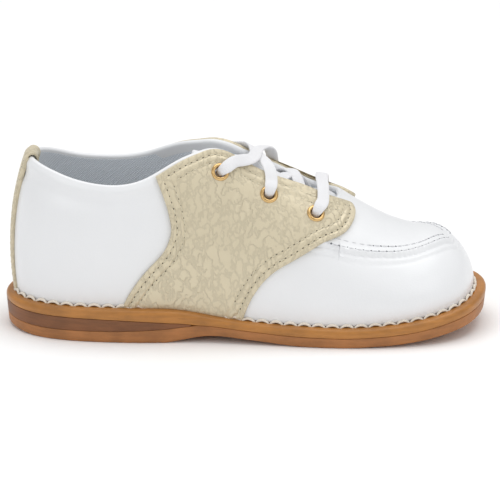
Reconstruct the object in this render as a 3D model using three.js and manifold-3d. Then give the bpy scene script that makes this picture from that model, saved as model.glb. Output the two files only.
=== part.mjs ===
// A toddler's saddle shoe for the right foot, empty, standing on its sole.
// X runs from the heel to the toe, +Y is the inner (medial) side and Z is up, in millimetres.
import * as THREE from 'three';
import Module from 'manifold-3d';
import { mergeVertices } from 'three/addons/utils/BufferGeometryUtils.js';

const wasm = await Module();
wasm.setup();

// Driving dimensions of the sole
const soleLength = 162;
const ballWidth = 62.4;
const heelRadius = 22.5;
const toeRadius = 42;
const toeSwing = 4;
const foreThickness = 6.5;
const heelRise = 5.3;
const toeSpring = 7;
const toeThickening = 1.2;
const heelRoll = 1.4;
const waistLift = 2.3;
const wedgeThickness = 4.2;
const outsoleShare = 0.53;
const ledge = 4.4;
const topRound = 2;
const floorRound = 0.5;
const sideTaper = 0.9;

// Driving dimensions of the upper and what is on it
const combHeight = 76;
const collarHeight = 59;
const medialDrop = 2.4;
const sideBulge = 2.4;
const wall = 2;
const plugStep = 0.5;
const overlay = 1.2;
const skivedOverlay = 0.7;
const stripWidth = 10.4;
const stripFold = 5;
const insoleThickness = 1.6;
const tongueThickness = 2;
const tongueWidth = 30;
const tongueTopAt = 0.364;
const tongueFrontAt = 0.759;
const tongueReach = 17;
const tongueSag = 4.6;
const tongueSagLength = 26;
const laceWidth = 4.2;
const laceThickness = 1;
const laceSlack = 0.9;
const lacePress = 0.85;
const barShift = 1.8;
const barArch = 3.6;
const crossShift = 3.9;
const crossSpread = 4.3;
const crossArch = 3;
const eyeletFlange = 6;
const eyeletBore = 3.5;
const eyeletMetal = 0.4;
const gap = 0.3;
const saddleTop = gap + overlay;

// How finely the curved faces are divided
const alongSteps = 35;
const upSteps = 9;
const roundSteps = 12;

function table(columns, rows) {
  const names = columns.split(' ');
  return Object.fromEntries(names.map((name, k) => [name, rows.map((row) => row[k])]));
}

// Half widths of the sole, as shares of the ball width, at shares of its length
const OUTLINE = table('at lateral medial', [
  [0.06, 0.298, 0.298],
  [0.12, 0.372, 0.366],
  [0.20, 0.410, 0.398],
  [0.30, 0.420, 0.388],
  [0.40, 0.407, 0.356],
  [0.50, 0.430, 0.366],
  [0.60, 0.465, 0.423],
  [0.68, 0.490, 0.478],
  [0.76, 0.500, 0.500],
  [0.84, 0.484, 0.490],
  [0.90, 0.443, 0.452],
  [0.95, 0.364, 0.375],
  [0.98, 0.253, 0.262],
]);

// How far the middle of the sole turns inwards (share of toeSwing), width of the ledge (share of ledge)
const TURN = table('at swing', [[0, 0], [0.45, 0], [0.7, 0.15], [0.85, 0.55], [1, 1]]);
const LEDGE = table('at width', [
  [0, 0.82], [0.1, 0.8], [0.2, 0.88], [0.3, 0.97], [0.5, 0.86], [0.8, 0.88], [1, 1],
]);

// Lifts of the sole: toe spring, hollow of the waist, roll of the heel, rise of the heel and thickness of
// the wedge, as shares of the named sizes
const SPRING = table('at lift', [
  [0.7, 0], [0.74, 0.03], [0.8, 0.12], [0.86, 0.28], [0.92, 0.55], [0.96, 0.76], [1, 1],
]);
const WAIST = table('at lift', [
  [0.34, 0], [0.39, 0.65], [0.42, 1], [0.48, 0.87], [0.55, 0.43], [0.6, 0.1], [0.63, 0],
]);
const ROLL = table('at lift', [[0, 1], [0.04, 0.29], [0.08, 0]]);
const HEEL = table('at rise', [
  [0, 1], [0.1, 0.98], [0.2, 0.96], [0.3, 0.94], [0.36, 0.86], [0.4, 0.67], [0.44, 0.46], [0.48, 0.29],
  [0.54, 0.15], [0.62, 0.05], [0.7, 0],
]);
const WEDGE = table('at thickness', [[0, 1], [0.12, 1], [0.22, 0.9], [0.3, 0.64], [0.36, 0.3], [0.4, 0]]);

// Height of the last's comb (share of combHeight)
const COMB = table('at height', [
  [0, 1], [0.185, 1.039], [0.309, 1.013], [0.383, 0.954], [0.444, 0.892], [0.506, 0.822], [0.568, 0.752],
  [0.630, 0.680], [0.691, 0.600], [0.741, 0.528], [0.784, 0.475], [0.821, 0.442], [0.855, 0.424],
  [0.889, 0.415], [0.920, 0.386], [0.944, 0.342],
]);

// Squareness of the last's cross-sections, and how far their sides swell (share of sideBulge)
const SECTION = table('at squareness bulge', [
  [0, 2.25, 0.4], [0.12, 2.56, 1], [0.28, 2.45, 0.9], [0.4, 2.2, 0.65], [0.5, 2.1, 0.5], [0.62, 2.1, 0.65],
  [0.72, 2.2, 0.78], [0.85, 2.3, 0.8], [0.97, 2.2, 0.25],
]);

// Edge of the collar, the facings and the throat, seen from the side (shares of length and collar height)
const COLLAR = table('at up', [
  [0, 0.98], [0.03, 0.98], [0.055, 0.98], [0.08, 0.967], [0.107, 0.948], [0.141, 0.922], [0.18, 0.9],
  [0.213, 0.889], [0.245, 0.888], [0.278, 0.902], [0.3, 0.922], [0.32, 0.948],
]);
const FACING = table('at up', [
  [0.32, 0.948], [0.341, 0.979], [0.372, 1.021], [0.404, 1.05], [0.427, 1.064], [0.449, 1.057],
  [0.468, 1.037], [0.5, 0.983], [0.53, 0.938], [0.562, 0.9], [0.599, 0.861], [0.635, 0.818],
  [0.667, 0.776], [0.692, 0.744],
]);
const SADDLE_TIP = table('at up', [
  [0.692, 0.744], [0.71, 0.725], [0.721, 0.69], [0.715, 0.65], [0.702, 0.62],
]);
const SADDLE_FRONT = table('at up', [
  [0.702, 0.62], [0.667, 0.589], [0.632, 0.541], [0.597, 0.487], [0.561, 0.427], [0.532, 0.346],
  [0.511, 0.251], [0.498, 0.159], [0.49, 0.08],
]);
const SADDLE_REAR = table('at up', [
  [0.24, 0.08], [0.256, 0.224], [0.271, 0.302], [0.29, 0.378], [0.313, 0.451], [0.336, 0.523],
  [0.347, 0.584], [0.352, 0.646], [0.35, 0.698], [0.342, 0.785], [0.332, 0.863], [0.32, 0.948],
]);

// How much lower the medial side's edge is (share of medialDrop)
const DROP = table('at share', [
  [0.05, 0], [0.12, 0.6], [0.2, 0.3], [0.27, 0.05], [0.34, 0.3], [0.42, 0.95], [0.5, 0.5], [0.56, 0.55],
  [0.64, 1.05], [0.69, 0.5], [0.72, 0.3],
]);

// Front end of the throat between the saddle's tips, and the line of the moc plug seen from the side
const throatEnd = 0.695;
const throatRound = 6;
const PLUG = table('at up', [
  [0.58, 0.62], [0.65, 0.578], [0.687, 0.549], [0.735, 0.516], [0.784, 0.495], [0.842, 0.487],
  [0.871, 0.497], [0.892, 0.505], [0.91, 0.502], [0.926, 0.485],
]);

// Centres of the eyelets, seen from the side, from the front row to the top one
const EYELETS = table('at up', [[0.643, 0.715], [0.548, 0.823], [0.448, 0.948]]);

function spline(xs, ys) {
  const n = xs.length;
  const step = (i) => xs[i + 1] - xs[i];
  const slope = (i) => (ys[i + 1] - ys[i]) / step(i);
  const bend = new Array(n).fill(0);
  const upper = new Array(n).fill(0);
  for (let i = 1; i < n - 1; i++) {
    const pivot = 2 * (step(i - 1) + step(i)) - step(i - 1) * upper[i - 1];
    upper[i] = step(i) / pivot;
    bend[i] = (6 * (slope(i) - slope(i - 1)) - step(i - 1) * bend[i - 1]) / pivot;
  }
  for (let i = n - 2; i > 0; i--) bend[i] -= upper[i] * bend[i + 1];
  return (x) => {
    const place = Math.min(Math.max(x, xs[0]), xs[n - 1]);
    let i = 0;
    while (i < n - 2 && place > xs[i + 1]) i++;
    const width = step(i);
    const a = (xs[i + 1] - place) / width;
    const b = 1 - a;
    const curved = (a ** 3 - a) * bend[i] + (b ** 3 - b) * bend[i + 1];
    return a * ys[i] + b * ys[i + 1] + curved * width ** 2 / 6;
  };
}

const swing = spline(TURN.at, TURN.swing);
const ledgeShare = spline(LEDGE.at, LEDGE.width);
const spring = spline(SPRING.at, SPRING.lift);
const waist = spline(WAIST.at, WAIST.lift);
const roll = spline(ROLL.at, ROLL.lift);
const rise = spline(HEEL.at, HEEL.rise);
const wedgeShare = spline(WEDGE.at, WEDGE.thickness);
const squareness = spline(SECTION.at, SECTION.squareness);
const bulge = spline(SECTION.at, SECTION.bulge);

// Half widths divided by those of an ellipse are smooth up to the round ends
function widthFactor(widths) {
  const ellipse = OUTLINE.at.map((at) => 2 * Math.sqrt(at * (1 - at)));
  const factors = widths.map((width, k) => width * ballWidth / ellipse[k]);
  const end = (radius) => Math.sqrt(2 * radius * soleLength) / 2;
  return spline([0, ...OUTLINE.at, 1], [end(heelRadius), ...factors, end(toeRadius)]);
}

const factorOf = { '-1': widthFactor(OUTLINE.lateral), 1: widthFactor(OUTLINE.medial) };
const shareAt = (turn) => (1 - Math.cos(turn)) / 2;

// A point of the sole's outline: turn runs from 0 at the heel to pi at the toe, side is -1 or 1
function outlinePoint(turn, side, inset = 0) {
  const point = (t) => {
    const at = shareAt(t);
    const across = side * factorOf[side](at) * Math.sin(t);
    return new THREE.Vector2(soleLength * at, across + toeSwing * swing(at));
  };
  const small = 1e-3;
  const along = point(turn + small).sub(point(turn - small)).normalize();
  return point(turn).add(new THREE.Vector2(side * along.y, -side * along.x).multiplyScalar(inset));
}

// Heights of the sole's layers, at a share of its length
function layers(at) {
  const lift = Math.max(0, (toeSpring - toeThickening) * spring(at));
  const floor = Math.max(0, lift + waistLift * waist(at) + heelRoll * roll(at));
  const wedge = Math.max(0, wedgeThickness * wedgeShare(at));
  const top = foreThickness + heelRise * rise(at) + Math.max(0, toeSpring * spring(at));
  const joints = gap * (1 + Math.min(1, wedge / gap));
  const outsole = (top - floor - wedge - joints) * outsoleShare;
  const outsoleTop = floor + outsole;
  const wedgeBottom = outsoleTop + gap;
  const wedgeTop = wedgeBottom + wedge;
  const midsoleBottom = outsoleTop + joints + wedge;
  return { floor, outsoleTop, wedgeBottom, wedgeTop, midsoleBottom, top };
}

// Height of the shoe's sole where the upper sits on it
const seat = (x) => layers(x / soleLength).top + gap;
const feather = (turn, side) => outlinePoint(turn, side, ledge * ledgeShare(shareAt(turn)));

// The comb drops to the sole at the very toe
const toeEnd = soleLength - ledge + 0.2;
const toeDrop = (x) => Math.sqrt(Math.max(1e-9, 1 - (x / toeEnd) ** 6));
const combFactors = COMB.at.map((at, k) => {
  const x = soleLength * at;
  return (combHeight * COMB.height[k] - seat(x)) / toeDrop(x);
});
const toeFactor = 0.97 * combFactors.at(-1);
const combFactor = spline([...COMB.at, toeEnd / soleLength], [...combFactors, toeFactor]);
const comb = (x) => seat(x) + combFactor(x / soleLength) * toeDrop(x);

// Behind the instep the sections fan out round a centre over the heel
const fanCentre = 26;
const fanBlend = 14;
const fanStart = 40;
const fanEnd = 60;
const fullReach = 14;

function combPlace(x) {
  const fanned = 0.5 * (x + fanCentre + Math.hypot(x - fanCentre, fanBlend));
  const plain = THREE.MathUtils.smoothstep(x, fanStart, fanEnd);
  return Math.min(toeEnd, THREE.MathUtils.lerp(fanned, x, plain));
}

// The outside of the last: up runs from 0 at the sole to 1 at the comb
function lastPoint(turn, side, up) {
  const foot = feather(turn, side);
  const x = combPlace((foot.x + feather(turn, -side).x) / 2);
  const top = new THREE.Vector2(x, toeSwing * swing(x / soleLength));
  const span = top.clone().sub(foot);
  const reach = Math.max(span.length(), 1e-6);
  const at = foot.x / soleLength;
  const power = 2 / squareness(at);
  const angle = up * Math.PI / 2;
  const high = Math.sin(angle) ** power;
  const across = 1 - Math.max(0, Math.cos(angle)) ** power;
  const swell = sideBulge * bulge(at) * Math.min(1, reach / fullReach) * 27 / 4 * high * (1 - high) ** 2;
  const place = foot.clone().addScaledVector(span, across - swell / reach);
  return new THREE.Vector3(place.x, place.y, THREE.MathUtils.lerp(seat(foot.x), comb(x), high));
}

// A closed solid from rings of points that all have the same even number: neighbours are joined, and the
// first and the last ring are closed by strips between their two sides
function ringSolid(rings) {
  const count = rings[0].length;
  const positions = rings.flat().flatMap((p) => [p.x, p.y, p.z]);
  const faces = [];
  const quad = (a, b, c, d) => faces.push(a, b, c, a, c, d);
  for (let r = 0; r + 1 < rings.length; r++) {
    for (let k = 0; k < count; k++) {
      const next = (k + 1) % count;
      quad(r * count + k, r * count + next, (r + 1) * count + next, (r + 1) * count + k);
    }
  }
  const last = (rings.length - 1) * count;
  for (let k = 0; k + 1 < count / 2; k++) {
    quad(k, count - 1 - k, count - 2 - k, k + 1);
    quad(last + k, last + k + 1, last + count - 2 - k, last + count - 1 - k);
  }
  const geometry = new THREE.BufferGeometry();
  geometry.setAttribute('position', new THREE.Float32BufferAttribute(positions, 3));
  geometry.setIndex(faces);
  return toSolid(geometry);
}

function toSolid(geometry) {
  const bare = geometry.clone();
  bare.deleteAttribute('normal');
  bare.deleteAttribute('uv');
  const merged = mergeVertices(bare, 1e-4);
  const index = Array.from(merged.index.array);
  const kept = [];
  for (let i = 0; i < index.length; i += 3) {
    const [a, b, c] = index.slice(i, i + 3);
    if (a !== b && b !== c && c !== a) kept.push(a, b, c);
  }
  const vertProperties = Float32Array.from(merged.attributes.position.array);
  return new wasm.Manifold(new wasm.Mesh({ numProp: 3, vertProperties, triVerts: Uint32Array.from(kept) }));
}

function toGeometry(solid) {
  const { vertProperties, triVerts } = solid.getMesh();
  const geometry = new THREE.BufferGeometry();
  geometry.setAttribute('position', new THREE.BufferAttribute(new Float32Array(vertProperties), 3));
  geometry.setIndex(new THREE.BufferAttribute(new Uint32Array(triVerts), 1));
  geometry.computeVertexNormals();
  return geometry;
}

// A ring round the sole, up the lateral side and back down the medial side. The side walls lean in
// towards the floor by sideTaper.
function soleRing(height, extraInset = 0, endTurn = Math.PI) {
  const turns = Array.from({ length: alongSteps + 1 }, (_, k) => endTurn * k / alongSteps);
  const point = (turn, side) => {
    const layer = layers(shareAt(turn));
    const lean = sideTaper * (layer.top - height(layer)) / (layer.top - layer.floor);
    const inset = lean + (typeof extraInset === 'function' ? extraInset(shareAt(turn)) : extraInset);
    const place = outlinePoint(turn, side, inset);
    const at = THREE.MathUtils.clamp(place.x / soleLength, 0, 1);
    return new THREE.Vector3(place.x, place.y, height(layers(at)));
  };
  const lateral = turns.map((turn) => point(turn, -1));
  const medial = turns.map((turn) => point(turn, 1));
  return [...lateral, ...medial.reverse()];
}

function outsole() {
  return ringSolid([
    soleRing((layer) => layer.floor, floorRound),
    soleRing((layer) => layer.floor + floorRound),
    soleRing((layer) => layer.outsoleTop),
  ]);
}

// The wedge ends where it has become as thin as its joints
function heelWedge() {
  let at = WEDGE.at.at(-1);
  while (wedgeThickness * wedgeShare(at) < gap) at -= 0.001;
  const endTurn = Math.acos(1 - 2 * at);
  return ringSolid([
    soleRing((layer) => layer.wedgeBottom, 0, endTurn),
    soleRing((layer) => layer.wedgeTop, 0, endTurn),
  ]);
}

function midsole() {
  const quarters = [0, 0.25, 0.5, 0.75, 1].map((share) => share * Math.PI / 2);
  return ringSolid([
    soleRing((layer) => layer.midsoleBottom),
    ...quarters.map((angle) => soleRing(
      (layer) => layer.top - topRound * (1 - Math.sin(angle)), topRound * (1 - Math.cos(angle)),
    )),
  ]);
}

function insole() {
  const inset = (at) => ledge * ledgeShare(at) + wall + 2 * gap;
  return ringSolid([
    soleRing((layer) => layer.top + gap, inset),
    soleRing((layer) => layer.top + gap + insoleThickness, inset),
  ]);
}

// The last's surface as rings, with the direction in which each point looks
const lastRings = Array.from({ length: upSteps + 1 }, (_, level) => {
  const turns = Array.from({ length: alongSteps + 1 }, (_, k) => Math.PI * k / alongSteps);
  const up = level / upSteps;
  const lateral = turns.map((turn) => lastPoint(turn, -1, up));
  const medial = turns.map((turn) => lastPoint(turn, 1, up));
  return [...lateral, ...medial.reverse()];
});
const lastNormals = ringNormals(lastRings);

function ringNormals(rings) {
  const count = rings[0].length;
  const faces = [];
  for (let r = 0; r + 1 < rings.length; r++) {
    for (let k = 0; k < count; k++) {
      const next = (k + 1) % count;
      const corners = [r * count + k, r * count + next, (r + 1) * count + next, (r + 1) * count + k];
      faces.push(corners[0], corners[1], corners[2], corners[0], corners[2], corners[3]);
    }
  }
  const open = new THREE.BufferGeometry();
  const positions = rings.flat().flatMap((p) => [p.x, p.y, p.z]);
  open.setAttribute('position', new THREE.Float32BufferAttribute(positions, 3));
  open.setIndex(faces);
  const merged = mergeVertices(open, 1e-4);
  merged.computeVertexNormals();
  const normals = [];
  const joined = merged.index.array;
  faces.forEach((corner, i) => {
    normals[corner] = new THREE.Vector3().fromBufferAttribute(merged.attributes.normal, joined[i]);
  });
  return rings.map((ring, r) => ring.map((_, k) => normals[r * count + k]));
}

// The last, thickened by a distance that may depend on the place and on how far up it is. A lowered one
// goes on below the sole's top, to cut right through.
function lastSolid(distance, lowered = 0) {
  const away = typeof distance === 'function' ? distance : () => distance;
  const rings = lastRings.map((ring, level) => ring.map((point, k) => {
    const normal = lastNormals[level][k].clone();
    if (level === 0) normal.setZ(0).normalize();
    return point.clone().addScaledVector(normal, away(point, level / upSteps));
  }));
  if (lowered > 0) rings.unshift(rings[0].map((point) => point.clone().setZ(point.z - lowered)));
  return ringSolid(rings);
}

// Prisms, from an outline seen from the side (length and height in millimetres) or from above
function sidePrism(outline, from, to) {
  const shape = new THREE.Shape(outline);
  const prism = new THREE.ExtrudeGeometry(shape, { depth: to - from, bevelEnabled: false });
  return toSolid(prism.rotateX(Math.PI / 2).translate(0, to, 0));
}

function planPrism(outline, from, to) {
  const shape = new THREE.Shape(outline);
  const prism = new THREE.ExtrudeGeometry(shape, { depth: to - from, bevelEnabled: false });
  return toSolid(prism.translate(0, 0, from));
}

// A curve through a table of places seen from the side, raised by a lift that may depend on the length
function sideCurve(rows, lift = () => 0, pointsPerRow = 2) {
  const points = rows.at.map((at, k) => new THREE.Vector2(soleLength * at, collarHeight * rows.up[k]));
  const curve = new THREE.SplineCurve(points).getPoints(pointsPerRow * (points.length - 1));
  return curve.map((point) => new THREE.Vector2(point.x, point.y + lift(point.x)));
}

const farOut = 60;
const sideRange = (side) => (side < 0 ? [-farOut, 0] : [0, farOut]);

function bisect(low, high, above) {
  for (let k = 0; k < 40; k++) {
    const middle = (low + high) / 2;
    if (above(middle)) high = middle;
    else low = middle;
  }
  return low;
}

// A place on the last, and the direction in which the surface looks there
function placeAt(turn, side, up, distance = 0) {
  const small = 1e-3;
  const along = lastPoint(turn + small, side, up).sub(lastPoint(turn - small, side, up));
  const rising = lastPoint(turn, side, Math.min(1, up + small)).sub(lastPoint(turn, side, up - small));
  const normal = along.cross(rising).multiplyScalar(-side).normalize();
  return { point: lastPoint(turn, side, up).addScaledVector(normal, distance), normal };
}

// The place that is seen from the side at a length and a height
function sidePlace(side, x, z, distance = 0) {
  const upAt = (turn) => bisect(0, 1, (up) => lastPoint(turn, side, up).z > z);
  const turn = bisect(0, Math.PI, (t) => lastPoint(t, side, upAt(t)).x > x);
  return placeAt(turn, side, upAt(turn), distance);
}

// Height of the opening's edge: collar, facings and the round front end of the throat, where it meets the
// comb. The medial side is a little lower.
const edgeSpline = spline(
  [...COLLAR.at, ...FACING.at.slice(1)].map((at) => soleLength * at),
  [...COLLAR.up, ...FACING.up.slice(1)].map((up) => collarHeight * up),
);

const dropShare = spline(DROP.at, DROP.share);
const dropOf = (x, side) => (side > 0 ? medialDrop * dropShare(x / soleLength) : 0);

function edgeHeight(x, side) {
  const end = soleLength * throatEnd;
  const share = THREE.MathUtils.clamp((x - end + throatRound) / throatRound, 0, 1);
  return THREE.MathUtils.lerp(edgeSpline(x) - dropOf(x, side), comb(x), 1 - Math.sqrt(1 - share ** 2));
}

// What the collar, the facings and the throat leave open: its walls cross the leather squarely
function opening(side) {
  const overlap = 0.02;
  const end = throatEnd - 1e-3;
  const roundStart = end - throatRound / soleLength;
  const steps = (from, to, count) => {
    return Array.from({ length: count }, (_, k) => from + (to - from) * k / count);
  };
  const straight = steps(-overlap, Math.acos(1 - 2 * roundStart), 28);
  const rounded = steps(roundStart, end, 6).map((at) => Math.acos(1 - 2 * at));
  const turns = [...straight, ...rounded, Math.acos(1 - 2 * end)];
  const rings = turns.map((turn) => {
    const isAbove = (place) => place.z > edgeHeight(place.x, side);
    const up = bisect(0, 1, (share) => isAbove(lastPoint(turn, side, share)));
    const { point, normal } = placeAt(turn, side, up);
    const inner = point.clone().addScaledVector(normal, -2 * wall);
    const outer = point.clone().addScaledVector(normal, 2 * saddleTop);
    const top = lastPoint(turn, side, 1);
    const middle = top.y - side * gap;
    const ring = [
      new THREE.Vector3(top.x, middle, inner.z),
      inner,
      point,
      outer,
      new THREE.Vector3(outer.x, outer.y, 2 * combHeight),
      new THREE.Vector3(top.x, middle, 2 * combHeight),
    ];
    return side > 0 ? ring : ring.reverse();
  });
  return ringSolid(rings);
}

const sideNames = { '-1': 'lateral', 1: 'medial' };
const eyeletRow = (side, row) => {
  const x = soleLength * EYELETS.at[row];
  const z = collarHeight * EYELETS.up[row] - dropOf(x, side);
  return sidePlace(side, x, z, saddleTop);
};

function eyeletHole(side, row) {
  const radius = eyeletBore / 2 + eyeletMetal + gap;
  const { point, normal } = eyeletRow(side, row);
  const drill = new THREE.CylinderGeometry(radius, radius, 6 * wall, roundSteps);
  const turn = new THREE.Quaternion().setFromUnitVectors(new THREE.Vector3(0, 1, 0), normal);
  return toSolid(drill.applyQuaternion(turn).translate(point.x, point.y, point.z));
}

function withoutEyeletHoles(solid, side) {
  return EYELETS.at.reduce((left, _, row) => left.subtract(eyeletHole(side, row)), solid);
}

function upper() {
  const plugLine = sideCurve(PLUG);
  const high = 2 * combHeight;
  const corners = [new THREE.Vector2(plugLine.at(-1).x, high), new THREE.Vector2(plugLine[0].x, high)];
  let plug = lastSolid(plugStep).intersect(sidePrism([...plugLine, ...corners], -farOut, farOut));
  for (const side of [-1, 1]) {
    const covered = saddlePrism(side);
    plug = plug.subtract(covered).subtract(covered.translate(2 * gap, 0, -2 * gap));
  }
  let shell = lastSolid(0).add(plug).subtract(lastSolid(-wall, 2 * wall));
  for (const side of [-1, 1]) shell = withoutEyeletHoles(shell.subtract(opening(side)), side);
  return shell;
}

function saddlePrism(side) {
  const end = soleLength * throatEnd;
  const lift = (x) => {
    return 2 * saddleTop * (1 - THREE.MathUtils.smoothstep(x, end - 2 * throatRound, end - throatRound));
  };
  const facing = sideCurve(FACING, (x) => lift(x) - dropOf(x, side));
  const rest = [SADDLE_TIP, SADDLE_FRONT, SADDLE_REAR].flatMap((part) => sideCurve(part).slice(0, -1));
  const outline = [...facing, ...rest.slice(1)];
  const [from, to] = sideRange(side);
  return sidePrism(outline, from, to);
}

// Overlays are thinned where they go down behind the ledge
function overlaySkin() {
  const thickness = (_, up) => gap + THREE.MathUtils.lerp(skivedOverlay, overlay, Math.min(1, 4 * up));
  return lastSolid(thickness).subtract(lastSolid(gap, wall));
}

function saddle(side) {
  return withoutEyeletHoles(overlaySkin().intersect(saddlePrism(side)).subtract(opening(side)), side);
}

// The strip up the heel goes over the collar and a little way down inside
function backStrip() {
  const top = collarHeight * COLLAR.up[0] + gap;
  const half = stripWidth / 2;
  const block = (low, high) => {
    const box = new THREE.BoxGeometry(fanCentre, 2 * half, high - low);
    return toSolid(box.translate(0, 0, (low + high) / 2));
  };
  const inside = lastSolid(-wall - gap - overlay, 2 * wall);
  const outerLeg = overlaySkin().intersect(block(0, top + overlay / 2));
  const innerLeg = lastSolid(-wall - gap, wall).subtract(inside);
  const fold = innerLeg.intersect(block(top - stripFold, top + overlay / 2));
  const bridge = lastSolid(saddleTop).subtract(inside).intersect(block(top, top + overlay));
  return outerLeg.add(fold).add(bridge);
}

// The tongue lies under the facings with room for the lace, comes up against the vamp at its front end
// and sinks between the facings at its top
const laceRoom = laceThickness + gap + laceSlack;
const tongueTop = soleLength * tongueTopAt;
const tongueFront = soleLength * tongueFrontAt;

function tongueDepth(x) {
  const end = soleLength * throatEnd;
  const room = laceRoom * (1 - THREE.MathUtils.smoothstep(x, end - laceWidth, end));
  const sag = tongueSag * (1 - THREE.MathUtils.smoothstep(x, tongueTop, tongueTop + tongueSagLength));
  return wall + gap + room + sag;
}

function tongue() {
  const skin = lastSolid((point) => -tongueDepth(point.x))
    .subtract(lastSolid((point) => -tongueDepth(point.x) - tongueThickness, wall));
  const half = tongueWidth / 2;
  const corner = half / 2;
  const outline = new THREE.Path()
    .moveTo(tongueTop + corner, -half)
    .lineTo(tongueFront - corner, -half)
    .absarc(tongueFront - corner, -half + corner, corner, -Math.PI / 2, 0)
    .absarc(tongueFront - corner, half - corner, corner, 0, Math.PI / 2)
    .absarc(tongueTop + corner, half - corner, corner, Math.PI / 2, Math.PI)
    .absarc(tongueTop + corner, -half + corner, corner, Math.PI, 1.5 * Math.PI);
  const lower = [0, 0.25, 0.5, 0.75, 1].map((share) => {
    const x = THREE.MathUtils.lerp(tongueTop, tongueFront, share);
    return new THREE.Vector2(x, comb(x) - tongueReach);
  });
  const high = 2 * combHeight;
  const corners = [new THREE.Vector2(tongueFront, high), new THREE.Vector2(tongueTop, high)];
  const upperPart = sidePrism([...lower, ...corners], -farOut, farOut);
  return skin.intersect(planPrism(outline.getPoints(5), 0, high)).intersect(upperPart);
}

function eyelet(side, row) {
  const bore = eyeletBore / 2;
  const barrel = bore + eyeletMetal;
  const rim = eyeletFlange / 2;
  const inner = -saddleTop - wall - eyeletMetal / 2;
  const domed = gap + 1.5 * eyeletMetal;
  const profile = [
    [bore, inner],
    [barrel, inner],
    [barrel, gap],
    [rim, gap],
    [rim - 0.7 * eyeletMetal, domed - eyeletMetal / 4],
    [barrel + eyeletMetal / 4, domed],
    [bore + eyeletMetal / 4, gap + 0.7 * eyeletMetal],
    [bore, inner],
  ].map(([radius, height]) => new THREE.Vector2(radius, height));
  const { point, normal } = eyeletRow(side, row);
  const geometry = new THREE.LatheGeometry(profile, roundSteps);
  const turn = new THREE.Quaternion().setFromUnitVectors(new THREE.Vector3(0, 1, 0), normal);
  return toSolid(geometry.applyQuaternion(turn).translate(point.x, point.y, point.z));
}

// A flat lace along a curve through places on the upper: its width lies along the surface
function laceBand(places) {
  const curve = new THREE.CatmullRomCurve3(places);
  const steps = 4 * (places.length - 1);
  const half = laceWidth / 2;
  const thick = laceThickness / 2;
  const flat = 0.8 * half;
  const corners = [[-half, 0], [-flat, thick], [flat, thick], [half, 0], [flat, -thick], [-flat, -thick]];
  const rings = Array.from({ length: steps + 1 }, (_, k) => {
    const point = curve.getPointAt(k / steps);
    const along = curve.getTangentAt(k / steps);
    const middle = toeSwing * swing(point.x / soleLength);
    const core = new THREE.Vector3(point.x, middle, comb(point.x) - ballWidth / 3);
    const outward = point.clone().sub(core);
    const across = along.clone().cross(outward).normalize();
    const normal = across.clone().cross(along).normalize();
    return corners.map(([wide, deep]) => {
      return point.clone().addScaledVector(across, wide).addScaledVector(normal, deep);
    });
  });
  return ringSolid(rings);
}

// Places for the lace: over an eyelet, at the edge of a facing, and over the middle of the throat
const overSaddle = saddleTop + 2 * gap + laceThickness / 2;
const overEyelet = overSaddle + 2 * eyeletMetal + gap;
const underFacing = -wall - gap - (laceSlack + laceThickness) / 2;
const facingPlace = (side, x, below, distance) => {
  return sidePlace(side, x, edgeSpline(x) - below - dropOf(x, side), distance).point;
};

function eyeletPlace(side, row) {
  const { point, normal } = eyeletRow(side, row);
  return point.addScaledVector(normal, overEyelet - saddleTop);
}

function laceBar() {
  const barLength = soleLength * EYELETS.at[0] + barShift;
  const places = (side) => [
    eyeletPlace(side, 0),
    facingPlace(side, barLength - 2 * gap, laceWidth / 2, overSaddle + eyeletMetal),
    facingPlace(side, barLength, gap, overSaddle),
  ];
  const middle = new THREE.Vector3(barLength + gap, 2 * gap, edgeSpline(barLength) + barArch);
  return laceBand([...places(-1), middle, ...places(1).reverse()]);
}

// One half of an open crossing, from an eyelet of one side to an eyelet of the other
function crossingBand(side, height) {
  const crossLength = soleLength * (EYELETS.at[1] + EYELETS.at[2]) / 2 + crossShift;
  const [nearX, farX] = [crossLength - crossSpread, crossLength + crossSpread];
  return laceBand([
    eyeletPlace(side, 2),
    facingPlace(side, nearX - 0.8 * crossSpread, 0.7 * laceWidth, overSaddle + 2 * gap),
    facingPlace(side, nearX, 0, overSaddle + height / 2),
    new THREE.Vector3(crossLength, 0, edgeSpline(crossLength) + crossArch + height),
    facingPlace(-side, farX, 0, overSaddle + height / 2),
    facingPlace(-side, farX + gap, laceWidth / 2, overSaddle + eyeletMetal),
    eyeletPlace(-side, 1),
  ]);
}

function laceCross() {
  return crossingBand(-1, lacePress * laceThickness).add(crossingBand(1, 0));
}

// The hidden crossing runs between the tongue and the facings, from the front row to the middle one
function underBand(side, height) {
  const front = soleLength * EYELETS.at[0];
  const back = soleLength * EYELETS.at[1];
  const middle = (front + back) / 2;
  return laceBand([
    sidePlace(side, front, eyeletRow(side, 0).point.z, underFacing).point,
    facingPlace(side, front - 0.6 * laceWidth, laceThickness / 2, underFacing),
    new THREE.Vector3(middle, gap, edgeSpline(middle) + 2 * gap + height),
    facingPlace(-side, back + 0.6 * laceWidth, laceThickness / 2, underFacing),
    sidePlace(-side, back, eyeletRow(-side, 1).point.z, underFacing).point,
  ]);
}

function laceUnder() {
  return underBand(-1, lacePress * laceThickness).add(underBand(1, 0));
}

const looks = {
  whiteLeather: { color: 0xf0f1f2, roughness: 0.45, metalness: 0 },
  beigeLeather: { color: 0xc9bb97, roughness: 0.6, metalness: 0 },
  amberRubber: { color: 0xb5742f, roughness: 0.5, metalness: 0 },
  brownRubber: { color: 0x704a30, roughness: 0.6, metalness: 0 },
  tanRubber: { color: 0x97683d, roughness: 0.7, metalness: 0 },
  whiteCotton: { color: 0xf6f6f8, roughness: 0.9, metalness: 0 },
  brass: { color: 0xc9a35a, roughness: 0.3, metalness: 1 },
  board: { color: 0xb9b6ae, roughness: 0.9, metalness: 0 },
};
const materials = Object.fromEntries(
  Object.entries(looks).map(([name, look]) => [name, new THREE.MeshStandardMaterial({ name, ...look })]),
);

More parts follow.
